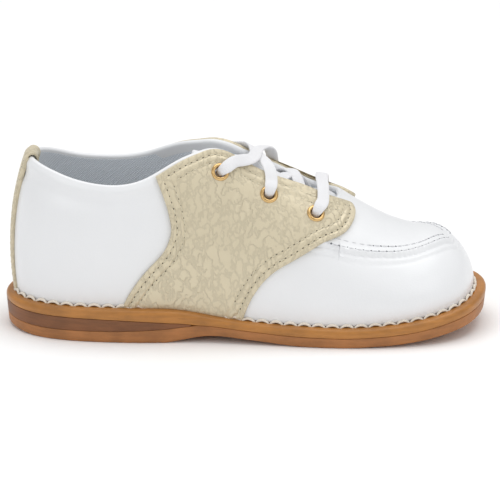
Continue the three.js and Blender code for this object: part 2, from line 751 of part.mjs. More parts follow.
const shoe = new THREE.Group();
function place(name, solid, material) {
  const mesh = new THREE.Mesh(toGeometry(solid), materials[material]);
  mesh.name = name;
  shoe.add(mesh);
}

place('outsole', outsole(), 'tanRubber');
place('heel_wedge', heelWedge(), 'brownRubber');
place('midsole', midsole(), 'amberRubber');
place('insole', insole(), 'board');
place('upper', upper(), 'whiteLeather');
place('tongue', tongue(), 'whiteLeather');
place('back_strip', backStrip(), 'beigeLeather');
for (const side of [-1, 1]) {
  place(`saddle_${sideNames[side]}`, saddle(side), 'beigeLeather');
  for (const row of EYELETS.at.keys()) {
    place(`eyelet_${sideNames[side]}_${row + 1}`, eyelet(side, row), 'brass');
  }
}
place('lace_bar', laceBar(), 'whiteCotton');
place('lace_cross', laceCross(), 'whiteCotton');
place('lace_under', laceUnder(), 'whiteCotton');

// The origin is the middle of the shoe's box, on the floor
const box = new THREE.Box3().setFromObject(shoe);
const centre = box.getCenter(new THREE.Vector3());
shoe.position.set(-centre.x, -centre.y, -box.min.z);

export default shoe;
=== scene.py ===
"""A toddler's saddle shoe in white and beige leather on a stitched rubber sole.

The shoe's surfaces follow the same sections as its solids. Working lengths are millimetres from the back of
the heel, and metre() turns them into the frame's metres.
"""
import math

import bpy
import numpy as np
from bpy.props import FloatProperty, FloatVectorProperty, PointerProperty
from mathutils import Matrix, Vector


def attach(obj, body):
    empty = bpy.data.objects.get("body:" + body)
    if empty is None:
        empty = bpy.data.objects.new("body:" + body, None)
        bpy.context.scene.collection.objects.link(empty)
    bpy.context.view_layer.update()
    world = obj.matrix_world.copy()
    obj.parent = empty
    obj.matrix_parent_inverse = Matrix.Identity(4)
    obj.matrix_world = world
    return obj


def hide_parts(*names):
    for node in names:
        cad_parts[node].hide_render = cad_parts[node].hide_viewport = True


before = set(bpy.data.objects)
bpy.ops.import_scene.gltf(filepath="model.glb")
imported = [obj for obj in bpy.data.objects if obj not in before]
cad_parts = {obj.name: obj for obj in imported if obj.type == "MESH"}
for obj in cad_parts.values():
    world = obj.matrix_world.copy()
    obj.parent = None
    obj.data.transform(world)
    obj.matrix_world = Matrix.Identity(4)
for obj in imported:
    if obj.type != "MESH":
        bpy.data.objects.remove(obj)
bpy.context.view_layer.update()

bl_info = {
    "name": "Toddler's Saddle Shoe",
    "version": (1, 0, 0),
    "blender": (4, 5, 0),
    "location": "View3D > Sidebar > Saddle Shoe",
    "description": "Models a toddler's saddle shoe with its stitches, laces and layered sole",
    "category": "Mesh",
}

# Where the heel's back end and the sole's middle line lie in the frame
HEEL_X = -80.97
MIDDLE_Y = -1.27

# Driving sizes of the sole and the last, as in the solids
SOLE_LENGTH = 162.0
BALL_WIDTH = 62.4
HEEL_RADIUS = 22.5
TOE_RADIUS = 42.0
TOE_SWING = 4.0
FORE_THICKNESS = 6.5
HEEL_RISE = 5.3
TOE_SPRING = 7.0
TOE_THICKENING = 1.2
HEEL_ROLL = 1.4
WAIST_LIFT = 2.3
WEDGE_THICKNESS = 4.2
OUTSOLE_SHARE = 0.53
LEDGE_WIDTH = 4.4
SIDE_TAPER = 0.9
COMB_HEIGHT = 76.0
COLLAR_HEIGHT = 59.0
MEDIAL_DROP = 2.4
SIDE_BULGE = 2.4
WALL = 2.0
GAP = 0.3
OVERLAY = 1.2
SADDLE_TOP = GAP + OVERLAY
EYELET_BORE = 3.5
EYELET_FLANGE = 6.0
STRIP_WIDTH = 10.4
STRIP_FOLD = 5.0
TONGUE_WIDTH = 30.0
TONGUE_TOP_AT = 0.364
TONGUE_FRONT_AT = 0.759
THROAT_END = 0.695
THROAT_ROUND = 6.0
FAN_CENTRE = 26.0
FAN_BLEND = 14.0
FAN_START = 40.0
FAN_END = 60.0
FULL_REACH = 14.0
LATERAL = -1.0
MEDIAL = 1.0


def table(columns, rows):
    return dict(zip(columns.split(), (np.array(column, float) for column in zip(*rows))))


OUTLINE = table("at lateral medial", [
    (0.06, 0.298, 0.298), (0.12, 0.372, 0.366), (0.20, 0.410, 0.398), (0.30, 0.420, 0.388),
    (0.40, 0.407, 0.356), (0.50, 0.430, 0.366), (0.60, 0.465, 0.423), (0.68, 0.490, 0.478),
    (0.76, 0.500, 0.500), (0.84, 0.484, 0.490), (0.90, 0.443, 0.452), (0.95, 0.364, 0.375),
    (0.98, 0.253, 0.262),
])
TURN = table("at swing", [(0, 0), (0.45, 0), (0.7, 0.15), (0.85, 0.55), (1, 1)])
LEDGE = table("at width", [
    (0, 0.82), (0.1, 0.8), (0.2, 0.88), (0.3, 0.97), (0.5, 0.86), (0.8, 0.88), (1, 1),
])
SPRING = table("at lift", [
    (0.7, 0), (0.74, 0.03), (0.8, 0.12), (0.86, 0.28), (0.92, 0.55), (0.96, 0.76), (1, 1),
])
WAIST = table("at lift", [
    (0.34, 0), (0.39, 0.65), (0.42, 1), (0.48, 0.87), (0.55, 0.43), (0.6, 0.1), (0.63, 0),
])
ROLL = table("at lift", [(0, 1), (0.04, 0.29), (0.08, 0)])
HEEL = table("at rise", [
    (0, 1), (0.1, 0.98), (0.2, 0.96), (0.3, 0.94), (0.36, 0.86), (0.4, 0.67), (0.44, 0.46),
    (0.48, 0.29), (0.54, 0.15), (0.62, 0.05), (0.7, 0),
])
WEDGE = table("at thickness", [
    (0, 1), (0.12, 1), (0.22, 0.9), (0.3, 0.64), (0.36, 0.3), (0.4, 0),
])
COMB = table("at height", [
    (0, 1), (0.185, 1.039), (0.309, 1.013), (0.383, 0.954), (0.444, 0.892), (0.506, 0.822),
    (0.568, 0.752), (0.630, 0.680), (0.691, 0.600), (0.741, 0.528), (0.784, 0.475), (0.821, 0.442),
    (0.855, 0.424), (0.889, 0.415), (0.920, 0.386), (0.944, 0.342),
])
SECTION = table("at squareness bulge", [
    (0, 2.25, 0.4), (0.12, 2.56, 1), (0.28, 2.45, 0.9), (0.4, 2.2, 0.65), (0.5, 2.1, 0.5),
    (0.62, 2.1, 0.65), (0.72, 2.2, 0.78), (0.85, 2.3, 0.8), (0.97, 2.2, 0.25),
])
COLLAR = table("at up", [
    (0, 0.98), (0.03, 0.98), (0.055, 0.98), (0.08, 0.967), (0.107, 0.948), (0.141, 0.922),
    (0.18, 0.9), (0.213, 0.889), (0.245, 0.888), (0.278, 0.902), (0.3, 0.922), (0.32, 0.948),
])
FACING = table("at up", [
    (0.32, 0.948), (0.341, 0.979), (0.372, 1.021), (0.404, 1.05), (0.427, 1.064), (0.449, 1.057),
    (0.468, 1.037), (0.5, 0.983), (0.53, 0.938), (0.562, 0.9), (0.599, 0.861), (0.635, 0.818),
    (0.667, 0.776), (0.692, 0.744),
])
SADDLE_TIP = table("at up", [
    (0.692, 0.744), (0.71, 0.725), (0.721, 0.69), (0.715, 0.65), (0.702, 0.62),
])
SADDLE_FRONT = table("at up", [
    (0.702, 0.62), (0.667, 0.589), (0.632, 0.541), (0.597, 0.487), (0.561, 0.427), (0.532, 0.346),
    (0.511, 0.251), (0.498, 0.159), (0.49, 0.08),
])
SADDLE_REAR = table("at up", [
    (0.24, 0.08), (0.256, 0.224), (0.271, 0.302), (0.29, 0.378), (0.313, 0.451), (0.336, 0.523),
    (0.347, 0.584), (0.352, 0.646), (0.35, 0.698), (0.342, 0.785), (0.332, 0.863), (0.32, 0.948),
])
DROP = table("at share", [
    (0.05, 0), (0.12, 0.6), (0.2, 0.3), (0.27, 0.05), (0.34, 0.3), (0.42, 0.95), (0.5, 0.5),
    (0.56, 0.55), (0.64, 1.05), (0.69, 0.5), (0.72, 0.3),
])
PLUG = table("at up", [
    (0.58, 0.62), (0.65, 0.578), (0.687, 0.549), (0.735, 0.516), (0.784, 0.495), (0.842, 0.487),
    (0.871, 0.497), (0.892, 0.505), (0.91, 0.502), (0.926, 0.485),
])
EYELETS = table("at up", [(0.643, 0.715), (0.548, 0.823), (0.448, 0.948)])


# Curves and sections of the shoe

def spline(xs, ys):
    """A natural cubic spline through a table's columns."""
    xs, ys = np.asarray(xs, float), np.asarray(ys, float)
    count = len(xs)
    step = np.diff(xs)
    slope = np.diff(ys) / step
    matrix = np.eye(count)
    right = np.zeros(count)
    for i in range(1, count - 1):
        matrix[i, i - 1:i + 2] = step[i - 1], 2 * (step[i - 1] + step[i]), step[i]
        right[i] = 6 * (slope[i] - slope[i - 1])
    bend = np.linalg.solve(matrix, right)

    def curve(x):
        x = np.clip(x, xs[0], xs[-1])
        i = np.clip(np.searchsorted(xs, x, side="left") - 1, 0, count - 2)
        a = (xs[i + 1] - x) / step[i]
        b = 1 - a
        curved = (a ** 3 - a) * bend[i] + (b ** 3 - b) * bend[i + 1]
        return a * ys[i] + b * ys[i + 1] + curved * step[i] ** 2 / 6

    return curve


swing = spline(TURN["at"], TURN["swing"])
ledge_share = spline(LEDGE["at"], LEDGE["width"])
spring = spline(SPRING["at"], SPRING["lift"])
waist = spline(WAIST["at"], WAIST["lift"])
roll = spline(ROLL["at"], ROLL["lift"])
rise = spline(HEEL["at"], HEEL["rise"])
wedge_share = spline(WEDGE["at"], WEDGE["thickness"])
squareness = spline(SECTION["at"], SECTION["squareness"])
bulge = spline(SECTION["at"], SECTION["bulge"])
drop_share = spline(DROP["at"], DROP["share"])
plug_height = spline(SOLE_LENGTH * PLUG["at"], COLLAR_HEIGHT * PLUG["up"])
edge_spline = spline(
    SOLE_LENGTH * np.append(COLLAR["at"], FACING["at"][1:]),
    COLLAR_HEIGHT * np.append(COLLAR["up"], FACING["up"][1:]),
)


def smooth(x, low, high):
    share = np.clip((x - low) / (high - low), 0, 1)
    return share * share * (3 - 2 * share)


def width_factor(widths):
    """Half widths over those of an ellipse, which are smooth up to the round ends."""
    ellipse = 2 * np.sqrt(OUTLINE["at"] * (1 - OUTLINE["at"]))
    ends = [math.sqrt(2 * radius * SOLE_LENGTH) / 2 for radius in (HEEL_RADIUS, TOE_RADIUS)]
    factors = [ends[0], *(widths * BALL_WIDTH / ellipse), ends[1]]
    return spline([0, *OUTLINE["at"], 1], factors)


lateral_factor = width_factor(OUTLINE["lateral"])
medial_factor = width_factor(OUTLINE["medial"])


def share_at(turn):
    return (1 - np.cos(turn)) / 2


def turn_at(share):
    return np.arccos(1 - 2 * np.clip(share, 0, 1))


def outline_point(turn, side, inset=0.0):
    """A point of the sole's outline: turn runs from 0 at the heel to pi at the toe."""
    def point(t):
        at = share_at(t)
        half = np.where(side < 0, lateral_factor(at), medial_factor(at))
        return np.stack([SOLE_LENGTH * at, side * half * np.sin(t) + TOE_SWING * swing(at)], -1)

    along = point(turn + 1e-3) - point(turn - 1e-3)
    along /= np.linalg.norm(along, axis=-1, keepdims=True)
    inward = np.stack([side * along[..., 1], -side * along[..., 0]], -1)
    return point(turn) + np.asarray(inset, float)[..., None] * inward


def layers(at):
    """Heights of the sole's layers at a share of its length."""
    lift = np.maximum(0, (TOE_SPRING - TOE_THICKENING) * spring(at))
    floor = np.maximum(0, lift + WAIST_LIFT * waist(at) + HEEL_ROLL * roll(at))
    wedge = np.maximum(0, WEDGE_THICKNESS * wedge_share(at))
    top = FORE_THICKNESS + HEEL_RISE * rise(at) + np.maximum(0, TOE_SPRING * spring(at))
    joints = GAP * (1 + np.minimum(1, wedge / GAP))
    outsole_top = floor + (top - floor - wedge - joints) * OUTSOLE_SHARE
    return {
        "floor": floor,
        "outsole_top": outsole_top,
        "wedge_bottom": outsole_top + GAP,
        "wedge_top": outsole_top + GAP + wedge,
        "midsole_bottom": outsole_top + joints + wedge,
        "top": top,
    }


def seat(x):
    return layers(x / SOLE_LENGTH)["top"] + GAP


def feather(turn, side):
    return outline_point(turn, side, LEDGE_WIDTH * ledge_share(share_at(turn)))


TOE_END = SOLE_LENGTH - LEDGE_WIDTH + 0.2


def toe_drop(x):
    return np.sqrt(np.maximum(1e-9, 1 - (x / TOE_END) ** 6))


def comb_curve():
    x = SOLE_LENGTH * COMB["at"]
    factors = (COMB_HEIGHT * COMB["height"] - seat(x)) / toe_drop(x)
    return spline([*COMB["at"], TOE_END / SOLE_LENGTH], [*factors, 0.97 * factors[-1]])


comb_factor = comb_curve()


def comb(x):
    return seat(x) + comb_factor(x / SOLE_LENGTH) * toe_drop(x)


def comb_place(x):
    fanned = 0.5 * (x + FAN_CENTRE + np.hypot(x - FAN_CENTRE, FAN_BLEND))
    plain = smooth(x, FAN_START, FAN_END)
    return np.minimum(TOE_END, fanned + (x - fanned) * plain)


def last_point(turn, side, up):
    """The outside of the last: up runs from 0 at the sole to 1 at the comb."""
    turn, side, up = np.broadcast_arrays(np.asarray(turn, float), side, up)
    foot = feather(turn, side)
    x = comb_place((foot[..., 0] + feather(turn, -side)[..., 0]) / 2)
    top = np.stack([x, TOE_SWING * swing(x / SOLE_LENGTH)], -1)
    span = top - foot
    reach = np.maximum(np.linalg.norm(span, axis=-1), 1e-6)
    at = foot[..., 0] / SOLE_LENGTH
    power = 2 / squareness(at)
    angle = up * math.pi / 2
    high = np.sin(angle) ** power
    across = 1 - np.maximum(0, np.cos(angle)) ** power
    swell = SIDE_BULGE * bulge(at) * np.minimum(1, reach / FULL_REACH) * 27 / 4 * high * (1 - high) ** 2
    place = foot + span * (across - swell / reach)[..., None]
    low = seat(foot[..., 0])
    return np.concatenate([place, (low + (comb(x) - low) * high)[..., None]], -1)


def unit(v):
    return v / np.maximum(np.linalg.norm(v, axis=-1, keepdims=True), 1e-12)


def place_at(turn, side, up):
    """A place on the last and the direction in which the surface looks there."""
    small = 1e-3
    along = last_point(turn + small, side, up) - last_point(turn - small, side, up)
    higher = last_point(turn, side, np.minimum(1, up + small))
    rising = higher - last_point(turn, side, np.maximum(0, up - small))
    normal = unit(np.cross(along, rising) * -np.asarray(side, float)[..., None])
    return last_point(turn, side, up), normal


def bisect(above, low, high, steps=34):
    low, high = np.array(low, float), np.array(high, float)
    for _ in range(steps):
        middle = (low + high) / 2
        over = above(middle)
        high = np.where(over, middle, high)
        low = np.where(over, low, middle)
    return low


def side_place(side, x, z):
    """Turn and up of the places that are seen from the side at a length and a height."""
    x, z, side = np.broadcast_arrays(np.asarray(x, float), z, float(side))
    zero = np.zeros(x.shape)

    def up_at(turn):
        return bisect(lambda up: last_point(turn, side, up)[..., 2] > z, zero, zero + 1, 8)

    turn = bisect(lambda t: last_point(t, side, up_at(t))[..., 0] > x, zero + 0.02, zero + math.pi - 0.02, 8)
    up = np.maximum(1e-4, up_at(turn))
    small = 1e-5
    for _ in range(7):
        here = last_point(turn, side, up)
        by_turn = (last_point(turn + small, side, up) - here) / small
        by_up = (last_point(turn, side, up - small) - here) / -small
        dx, dz = x - here[..., 0], z - here[..., 2]
        det = by_turn[..., 0] * by_up[..., 2] - by_up[..., 0] * by_turn[..., 2]
        det = np.where(np.abs(det) < 1e-6, 1e-6, det)
        turn = turn + np.clip((dx * by_up[..., 2] - dz * by_up[..., 0]) / det, -0.05, 0.05)
        up = up + np.clip((dz * by_turn[..., 0] - dx * by_turn[..., 2]) / det, -0.05, 0.05)
        turn, up = np.clip(turn, 0, math.pi), np.clip(up, 1e-4, 1)
    return turn, up


def drop_of(x, side):
    return np.where(np.asarray(side) > 0, MEDIAL_DROP * drop_share(x / SOLE_LENGTH), 0.0)


def edge_height(x, side):
    """Height of the opening's edge: collar, facings and the round front end of the throat."""
    end = SOLE_LENGTH * THROAT_END
    share = np.clip((x - end + THROAT_ROUND) / THROAT_ROUND, 0, 1)
    plain = edge_spline(x) - drop_of(x, side)
    return plain + (comb(x) - plain) * (1 - np.sqrt(1 - share ** 2))


def edge_up(turn, side):
    zero = np.zeros(np.shape(turn))

    def above(up):
        point = last_point(turn, side, up)
        return point[..., 2] > edge_height(point[..., 0], side)

    return bisect(above, zero, zero + 1)


def resample(points, count):
    """The same polyline with evenly spaced points."""
    length = np.append(0, np.cumsum(np.linalg.norm(np.diff(points, axis=0), axis=1)))
    wanted = np.linspace(0, length[-1], count)
    return np.stack([np.interp(wanted, length, column) for column in points.T], -1)


def smooth_curve(rows, lift=0.0):
    """A dense curve through a table of places seen from the side, in millimetres."""
    points = np.stack([SOLE_LENGTH * rows["at"], COLLAR_HEIGHT * rows["up"] + lift], -1)
    length = np.append(0, np.cumsum(np.linalg.norm(np.diff(points, axis=0), axis=1)))
    wanted = np.linspace(0, length[-1], 24 * len(points))
    return np.stack([spline(length, column)(wanted) for column in points.T], -1)


def distance_to(points, line, chunk=4000):
    """How far each point lies from a polyline's points."""
    flat = points.reshape(-1, 3)
    found = [
        np.sqrt(((flat[i:i + chunk, None] - line[None]) ** 2).sum(-1)).min(1)
        for i in range(0, len(flat), chunk)
    ]
    return np.concatenate(found).reshape(points.shape[:-1])


def hump(x, centre, width):
    return np.exp(-((x - centre) / width) ** 2)


# Making meshes

def metre(points):
    return (np.asarray(points, float) + (HEEL_X, MIDDLE_Y, 0)) / 1000


def deselect():
    bpy.ops.object.select_all(action="DESELECT")


def choose(obj):
    deselect()
    obj.select_set(True)
    bpy.context.view_layer.objects.active = obj


def mesh_piece(name, points, faces, uvs=None):
    """An object from points in working millimetres, with an optional place on its pattern for each point."""
    mesh = bpy.data.meshes.new(name)
    mesh.from_pydata(metre(points).tolist(), [], [list(face) for face in faces])
    if uvs is not None:
        layer = mesh.uv_layers.new(name="UVMap")
        order = np.zeros(len(mesh.loops), int)
        mesh.loops.foreach_get("vertex_index", order)
        layer.data.foreach_set("uv", np.asarray(uvs, float)[order].ravel())
    mesh.validate()
    obj = bpy.data.objects.new(name, mesh)
    bpy.context.collection.objects.link(obj)
    return obj


def tidy_mesh(obj, merge=0.00001, angle=40):
    """Joins doubled points, turns the faces outwards and shades them smoothly."""
    choose(obj)
    bpy.ops.object.mode_set(mode="EDIT")
    bpy.ops.mesh.select_all(action="SELECT")
    bpy.ops.mesh.remove_doubles(threshold=merge)
    bpy.ops.mesh.normals_make_consistent(inside=False)
    bpy.ops.object.mode_set(mode="OBJECT")
    bpy.ops.object.shade_smooth_by_angle(angle=math.radians(angle))
    return obj


def apply_modifier(obj, kind, **settings):
    choose(obj)
    modifier = obj.modifiers.new(kind.title(), kind)
    for key, value in settings.items():
        setattr(modifier, key, value)
    bpy.ops.object.modifier_apply(modifier=modifier.name)


def grid_faces(rows, columns, start=0, closed=False):
    """Quads of a grid of points, whose columns may close on themselves."""
    last = columns if closed else columns - 1
    return [
        (
            start + r * columns + c,
            start + r * columns + (c + 1) % columns,
            start + (r + 1) * columns + (c + 1) % columns,
            start + (r + 1) * columns + c,
        )
        for r in range(rows - 1)
        for c in range(last)
    ]


def border(rows, columns):
    """Indices round the border of a grid."""
    top = [(0, c) for c in range(columns)]
    right = [(r, columns - 1) for r in range(1, rows)]
    bottom = [(rows - 1, c) for c in range(columns - 2, -1, -1)]
    left = [(r, 0) for r in range(rows - 2, 0, -1)]
    return np.array(top + right + bottom + left)


def slab(name, top, normals, thickness, rounding, rim_rows=4, uv=None):
    """A closed slab under a grid of points, with a rounded rim."""
    rows, columns = top.shape[:2]
    thick = np.broadcast_to(np.asarray(thickness, float), top.shape[:2])[..., None]
    under = top - normals * thick
    ring = border(rows, columns)
    flat = ring[:, 0] * columns + ring[:, 1]
    edge, look = top.reshape(-1, 3)[flat], normals.reshape(-1, 3)[flat]
    deep = np.broadcast_to(thick, top.shape[:2] + (1,)).reshape(-1, 1)[flat]
    along = unit(np.roll(edge, -1, 0) - np.roll(edge, 1, 0))
    out = unit(np.cross(along, look))
    centre = top.reshape(-1, 3).mean(0)
    if ((edge - centre) * out).sum() < 0:
        out = -out
    parts = [top.reshape(-1, 3), under.reshape(-1, 3)]
    angles = np.linspace(math.pi / 2, -math.pi / 2, rim_rows + 2)[1:-1]
    for angle in angles:
        high = look * deep / 2 * (math.sin(angle) - 1)
        parts.append(edge + high + out * rounding * math.cos(angle))
    count, size = len(ring), rows * columns
    rings = [flat.tolist()]
    rings += [[2 * size + k * count + i for i in range(count)] for k in range(len(angles))]
    rings.append((flat + size).tolist())
    faces = grid_faces(rows, columns)
    faces += [tuple(reversed(face)) for face in grid_faces(rows, columns, size)]
    for first, second in zip(rings, rings[1:]):
        for i in range(count):
            j = (i + 1) % count
            faces.append((first[i], second[i], second[j], first[j]))
    uvs = None
    if uv is not None:
        flat_uv = uv.reshape(-1, 2)
        uvs = np.concatenate([flat_uv, flat_uv] + [flat_uv[flat]] * len(angles))
    return tidy_mesh(mesh_piece(name, np.concatenate(parts), faces, uvs))


def ring_piece(name, rings, angle=40):
    """A closed solid from rings of points, each up one side of the foot and back down the other."""
    points = np.concatenate(rings)
    count = len(rings[0])
    faces = grid_faces(len(rings), count, closed=True)
    last = (len(rings) - 1) * count
    for k in range(count // 2 - 1):
        faces.append((k, count - 1 - k, count - 2 - k, k + 1))
        faces.append((last + k, last + k + 1, last + count - 2 - k, last + count - 1 - k))
    return tidy_mesh(mesh_piece(name, points, faces), angle=angle)


def scatter(name, points, faces, frames):
    """Copies one small shape to many places, each given by its centre and three axes."""
    base = np.asarray(points, float)
    spots = [centre + base @ np.stack(axes) for centre, axes in frames]
    all_faces = [tuple(i + k * len(base) for i in face) for k in range(len(spots)) for face in faces]
    obj = mesh_piece(name, np.concatenate(spots), all_faces)
    choose(obj)
    bpy.ops.object.shade_smooth()
    return obj


def tube_shape(path, radii, sides=8):
    """A short round thread along a path in the plane of its first and third axes."""
    path = np.asarray(path, float)
    along = unit(np.gradient(path, axis=0))
    across = np.array([0.0, 1.0, 0.0])
    rings = []
    for point, direction, radius in zip(path, along, radii):
        up = np.cross(direction, across)
        for k in range(sides):
            angle = 2 * math.pi * k / sides
            rings.append(point + radius * (math.cos(angle) * across + math.sin(angle) * up))
    faces = grid_faces(len(path), sides, closed=True)
    start = len(rings)
    rings += [path[0], path[-1]]
    for k in range(sides):
        faces.append((start, (k + 1) % sides, k))
        tail = (len(path) - 1) * sides
        faces.append((start + 1, tail + k, tail + (k + 1) % sides))
    return np.array(rings), faces


# Materials

def add(tree, kind, sockets=None, **settings):
    """A shader node; sockets are given a value or another node's output."""
    node = tree.nodes.new("ShaderNode" + kind)
    for key, value in settings.items():
        setattr(node, key, value)
    for key, value in (sockets or {}).items():
        if isinstance(value, bpy.types.NodeSocket):
            tree.links.new(value, node.inputs[key])
        else:
            node.inputs[key].default_value = value
    return node


def new_material(name, roughness, **sockets):
    material = bpy.data.materials.new("dressed_" + name)
    material.use_nodes = True
    shader = material.node_tree.nodes["Principled BSDF"]
    shader.inputs["Roughness"].default_value = roughness
    for key, value in sockets.items():
        shader.inputs[key.replace("_", " ").title().replace("Ior", "IOR")].default_value = value
    return material, material.node_tree, shader


def pattern_place(tree, stretch=(1, 1, 1), uv=False):
    """Where a pattern is read: the object's own coordinates in metres, or its UV map in millimetres."""
    source = add(tree, "TexCoord").outputs["UV" if uv else "Object"]
    return add(tree, "Mapping", {"Vector": source, "Scale": stretch}).outputs["Vector"]


def noise(tree, place, scale, detail=3.0, roughness=0.55):
    sockets = {"Vector": place, "Scale": scale, "Detail": detail, "Roughness": roughness}
    return add(tree, "TexNoise", sockets).outputs["Fac"]


def cells(tree, place, scale, feature="DISTANCE_TO_EDGE"):
    sockets = {"Vector": place, "Scale": scale}
    return add(tree, "TexVoronoi", sockets, feature=feature).outputs["Distance"]


def ramp(tree, value, low, high):
    sockets = {"Value": value, "From Min": low, "From Max": high}
    return add(tree, "MapRange", sockets, interpolation_type="SMOOTHSTEP").outputs["Result"]


def mix_colour(tree, value, first, second):
    node = add(tree, "Mix", data_type="RGBA")
    tree.links.new(value, node.inputs["Factor"])
    for key, colour in (("A", first), ("B", second)):
        socket = next(s for s in node.inputs if s.name == key and s.type == "RGBA")
        if isinstance(colour, bpy.types.NodeSocket):
            tree.links.new(colour, socket)
        else:
            socket.default_value = (*colour[:3], 1)
    return next(s for s in node.outputs if s.type == "RGBA")


def calculate(tree, operation, first, second=0.0, third=0.5):
    node = add(tree, "Math", {0: first, 1: second, 2: third}, operation=operation)
    return node.outputs[0]


def bump(tree, height, depth, before=None):
    sockets = {"Height": height, "Distance": depth / 1000, "Strength": 1.0}
    if before is not None:
        sockets["Normal"] = before
    return add(tree, "Bump", sockets).outputs["Normal"]


def shade(colour, factor):
    return tuple(channel * factor for channel in colour[:3])


def white_leather():
    colour = colours().white_leather
    material, tree, shader = new_material("white_leather", 0.36, coat_weight=0.22, coat_roughness=0.3)
    place = pattern_place(tree)
    clouds = noise(tree, place, 45, 2)
    tone = mix_colour(tree, clouds, shade(colour, 0.965), shade(colour, 1.02))
    tree.links.new(tone, shader.inputs["Base Color"])
    rub = ramp(tree, noise(tree, place, 140, 3), 0.3, 0.75)
    tree.links.new(calculate(tree, "MULTIPLY_ADD", rub, 0.12, 0.3), shader.inputs["Roughness"])
    soft = bump(tree, noise(tree, place, 90, 2), 0.12)
    pores = bump(tree, cells(tree, place, 1500, "F1"), 0.018, soft)
    tree.links.new(bump(tree, noise(tree, place, 2600, 4), 0.012, pores), shader.inputs["Normal"])
    return material


def beige_leather():
    colour = colours().beige_leather
    material, tree, shader = new_material(
        "beige_leather", 0.42, metallic=0.2, coat_weight=0.25, coat_roughness=0.28,
    )
    place = pattern_place(tree, (1.0, 1.0, 0.6))
    creases = noise(tree, place, 420, 3, 0.5)
    folded = calculate(tree, "ABSOLUTE", calculate(tree, "SUBTRACT", creases, 0.5))
    raised = ramp(tree, folded, 0.0, 0.09)
    fine = noise(tree, place, 1500, 3)
    patches = ramp(tree, noise(tree, place, 60, 2), 0.38, 0.62)
    clouded = mix_colour(tree, noise(tree, place, 50, 3), shade(colour, 0.94), shade(colour, 1.05))
    # Along the crease lines the colour is painted 14% darker: painted shade in the creases. The same mask
    # also sinks them in the bump below.
    tree.links.new(mix_colour(tree, raised, shade(colour, 0.86), clouded), shader.inputs["Base Color"])
    deep = calculate(tree, "MULTIPLY", raised, patches)
    grain = bump(tree, fine, 0.05, bump(tree, raised, 0.07))
    tree.links.new(bump(tree, deep, 0.08, grain), shader.inputs["Normal"])
    return material


def rubber(name, colour, roughness, streaks):
    """Sole rubber with cloudy colour, grinding streaks along the edge and small pits."""
    material, tree, shader = new_material(name, roughness)
    place = pattern_place(tree)
    long_place = pattern_place(tree, (0.12, 0.12, 1.0))
    clouds = noise(tree, place, 110, 4)
    lines = noise(tree, long_place, 900, 3)
    cloudy = calculate(tree, "MULTIPLY", clouds, 1 - streaks)
    tone = calculate(tree, "ADD", cloudy, calculate(tree, "MULTIPLY", lines, streaks))
    spread = ramp(tree, tone, 0.3, 0.7)
    cast = mix_colour(tree, spread, shade(colour, 0.78), shade(colour, 1.2))
    tree.links.new(cast, shader.inputs["Base Color"])
    pits = bump(tree, noise(tree, place, 1500, 3), 0.05)
    tree.links.new(bump(tree, lines, 0.06, pits), shader.inputs["Normal"])
    return material


def woven(name, colour, pitch, depth, roughness=0.85, twill=True):
    """Cloth whose threads follow the piece's own UV map, which is in millimetres."""
    material, tree, shader = new_material(name, roughness, sheen_weight=0.25, sheen_roughness=0.5)
    place = pattern_place(tree, (1, 1, 1), uv=True)
    turn = math.radians(45 if twill else 0)
    turned = add(tree, "Mapping", {"Vector": place, "Rotation": (0, 0, turn)}).outputs["Vector"]
    scale = 1 / pitch
    ribs = add(
        tree, "TexWave", {"Vector": turned, "Scale": scale / 3.2, "Distortion": 0.6, "Detail": 1.0},
    ).outputs["Fac"]
    cross = add(
        tree, "TexWave", {"Vector": turned, "Scale": scale / 2.2, "Distortion": 0.4, "Detail": 1.0},
        bands_direction="Y",
    ).outputs["Fac"]
    weave = calculate(tree, "MULTIPLY", ribs, cross)
    tone = mix_colour(tree, weave, shade(colour, 0.82), shade(colour, 1.05))
    tree.links.new(tone, shader.inputs["Base Color"])
    tree.links.new(bump(tree, weave, depth), shader.inputs["Normal"])
    return material


def lace_cotton():
    """A flat braid: its threads run in a chevron from the middle to both edges."""
    colour = colours().lace
    material, tree, shader = new_material("lace_cotton", 0.8, sheen_weight=0.3, sheen_roughness=0.4)
    place = pattern_place(tree, uv=True)
    split = add(tree, "SeparateXYZ", {"Vector": place})
    slant = calculate(tree, "ADD", split.outputs["X"], calculate(tree, "ABSOLUTE", split.outputs["Y"]))
    threads = calculate(tree, "SINE", calculate(tree, "MULTIPLY", slant, 2 * math.pi / 0.62))
    rows = calculate(tree, "SINE", calculate(tree, "MULTIPLY", split.outputs["Y"], 2 * math.pi / 0.5))
    braid = calculate(tree, "MULTIPLY", threads, calculate(tree, "MULTIPLY_ADD", rows, 0.35))
    height = ramp(tree, braid, -1.0, 1.0)
    tree.links.new(mix_colour(tree, height, shade(colour, 0.9), colour), shader.inputs["Base Color"])
    tree.links.new(bump(tree, height, 0.09), shader.inputs["Normal"])
    return material


def thread(name, colour):
    material, tree, shader = new_material(name, 0.7, sheen_weight=0.2)
    place = pattern_place(tree)
    ply = noise(tree, place, 3000, 2)
    tone = mix_colour(tree, ply, shade(colour, 0.8), shade(colour, 1.08))
    tree.links.new(tone, shader.inputs["Base Color"])
    tree.links.new(bump(tree, ply, 0.05), shader.inputs["Normal"])
    return material


def brass():
    colour = colours().brass
    material, tree, shader = new_material("brass", 0.26, metallic=1.0)
    place = pattern_place(tree)
    tone = noise(tree, place, 900, 3)
    tree.links.new(mix_colour(tree, tone, shade(colour, 0.85), colour), shader.inputs["Base Color"])
    tree.links.new(bump(tree, noise(tree, place, 1800, 2), 0.01), shader.inputs["Normal"])
    return material


def plain(name, colour, roughness=0.9):
    material, tree, shader = new_material(name, roughness)
    tone = noise(tree, pattern_place(tree), 600, 2)
    tree.links.new(mix_colour(tree, tone, shade(colour, 0.9), colour), shader.inputs["Base Color"])
    return material


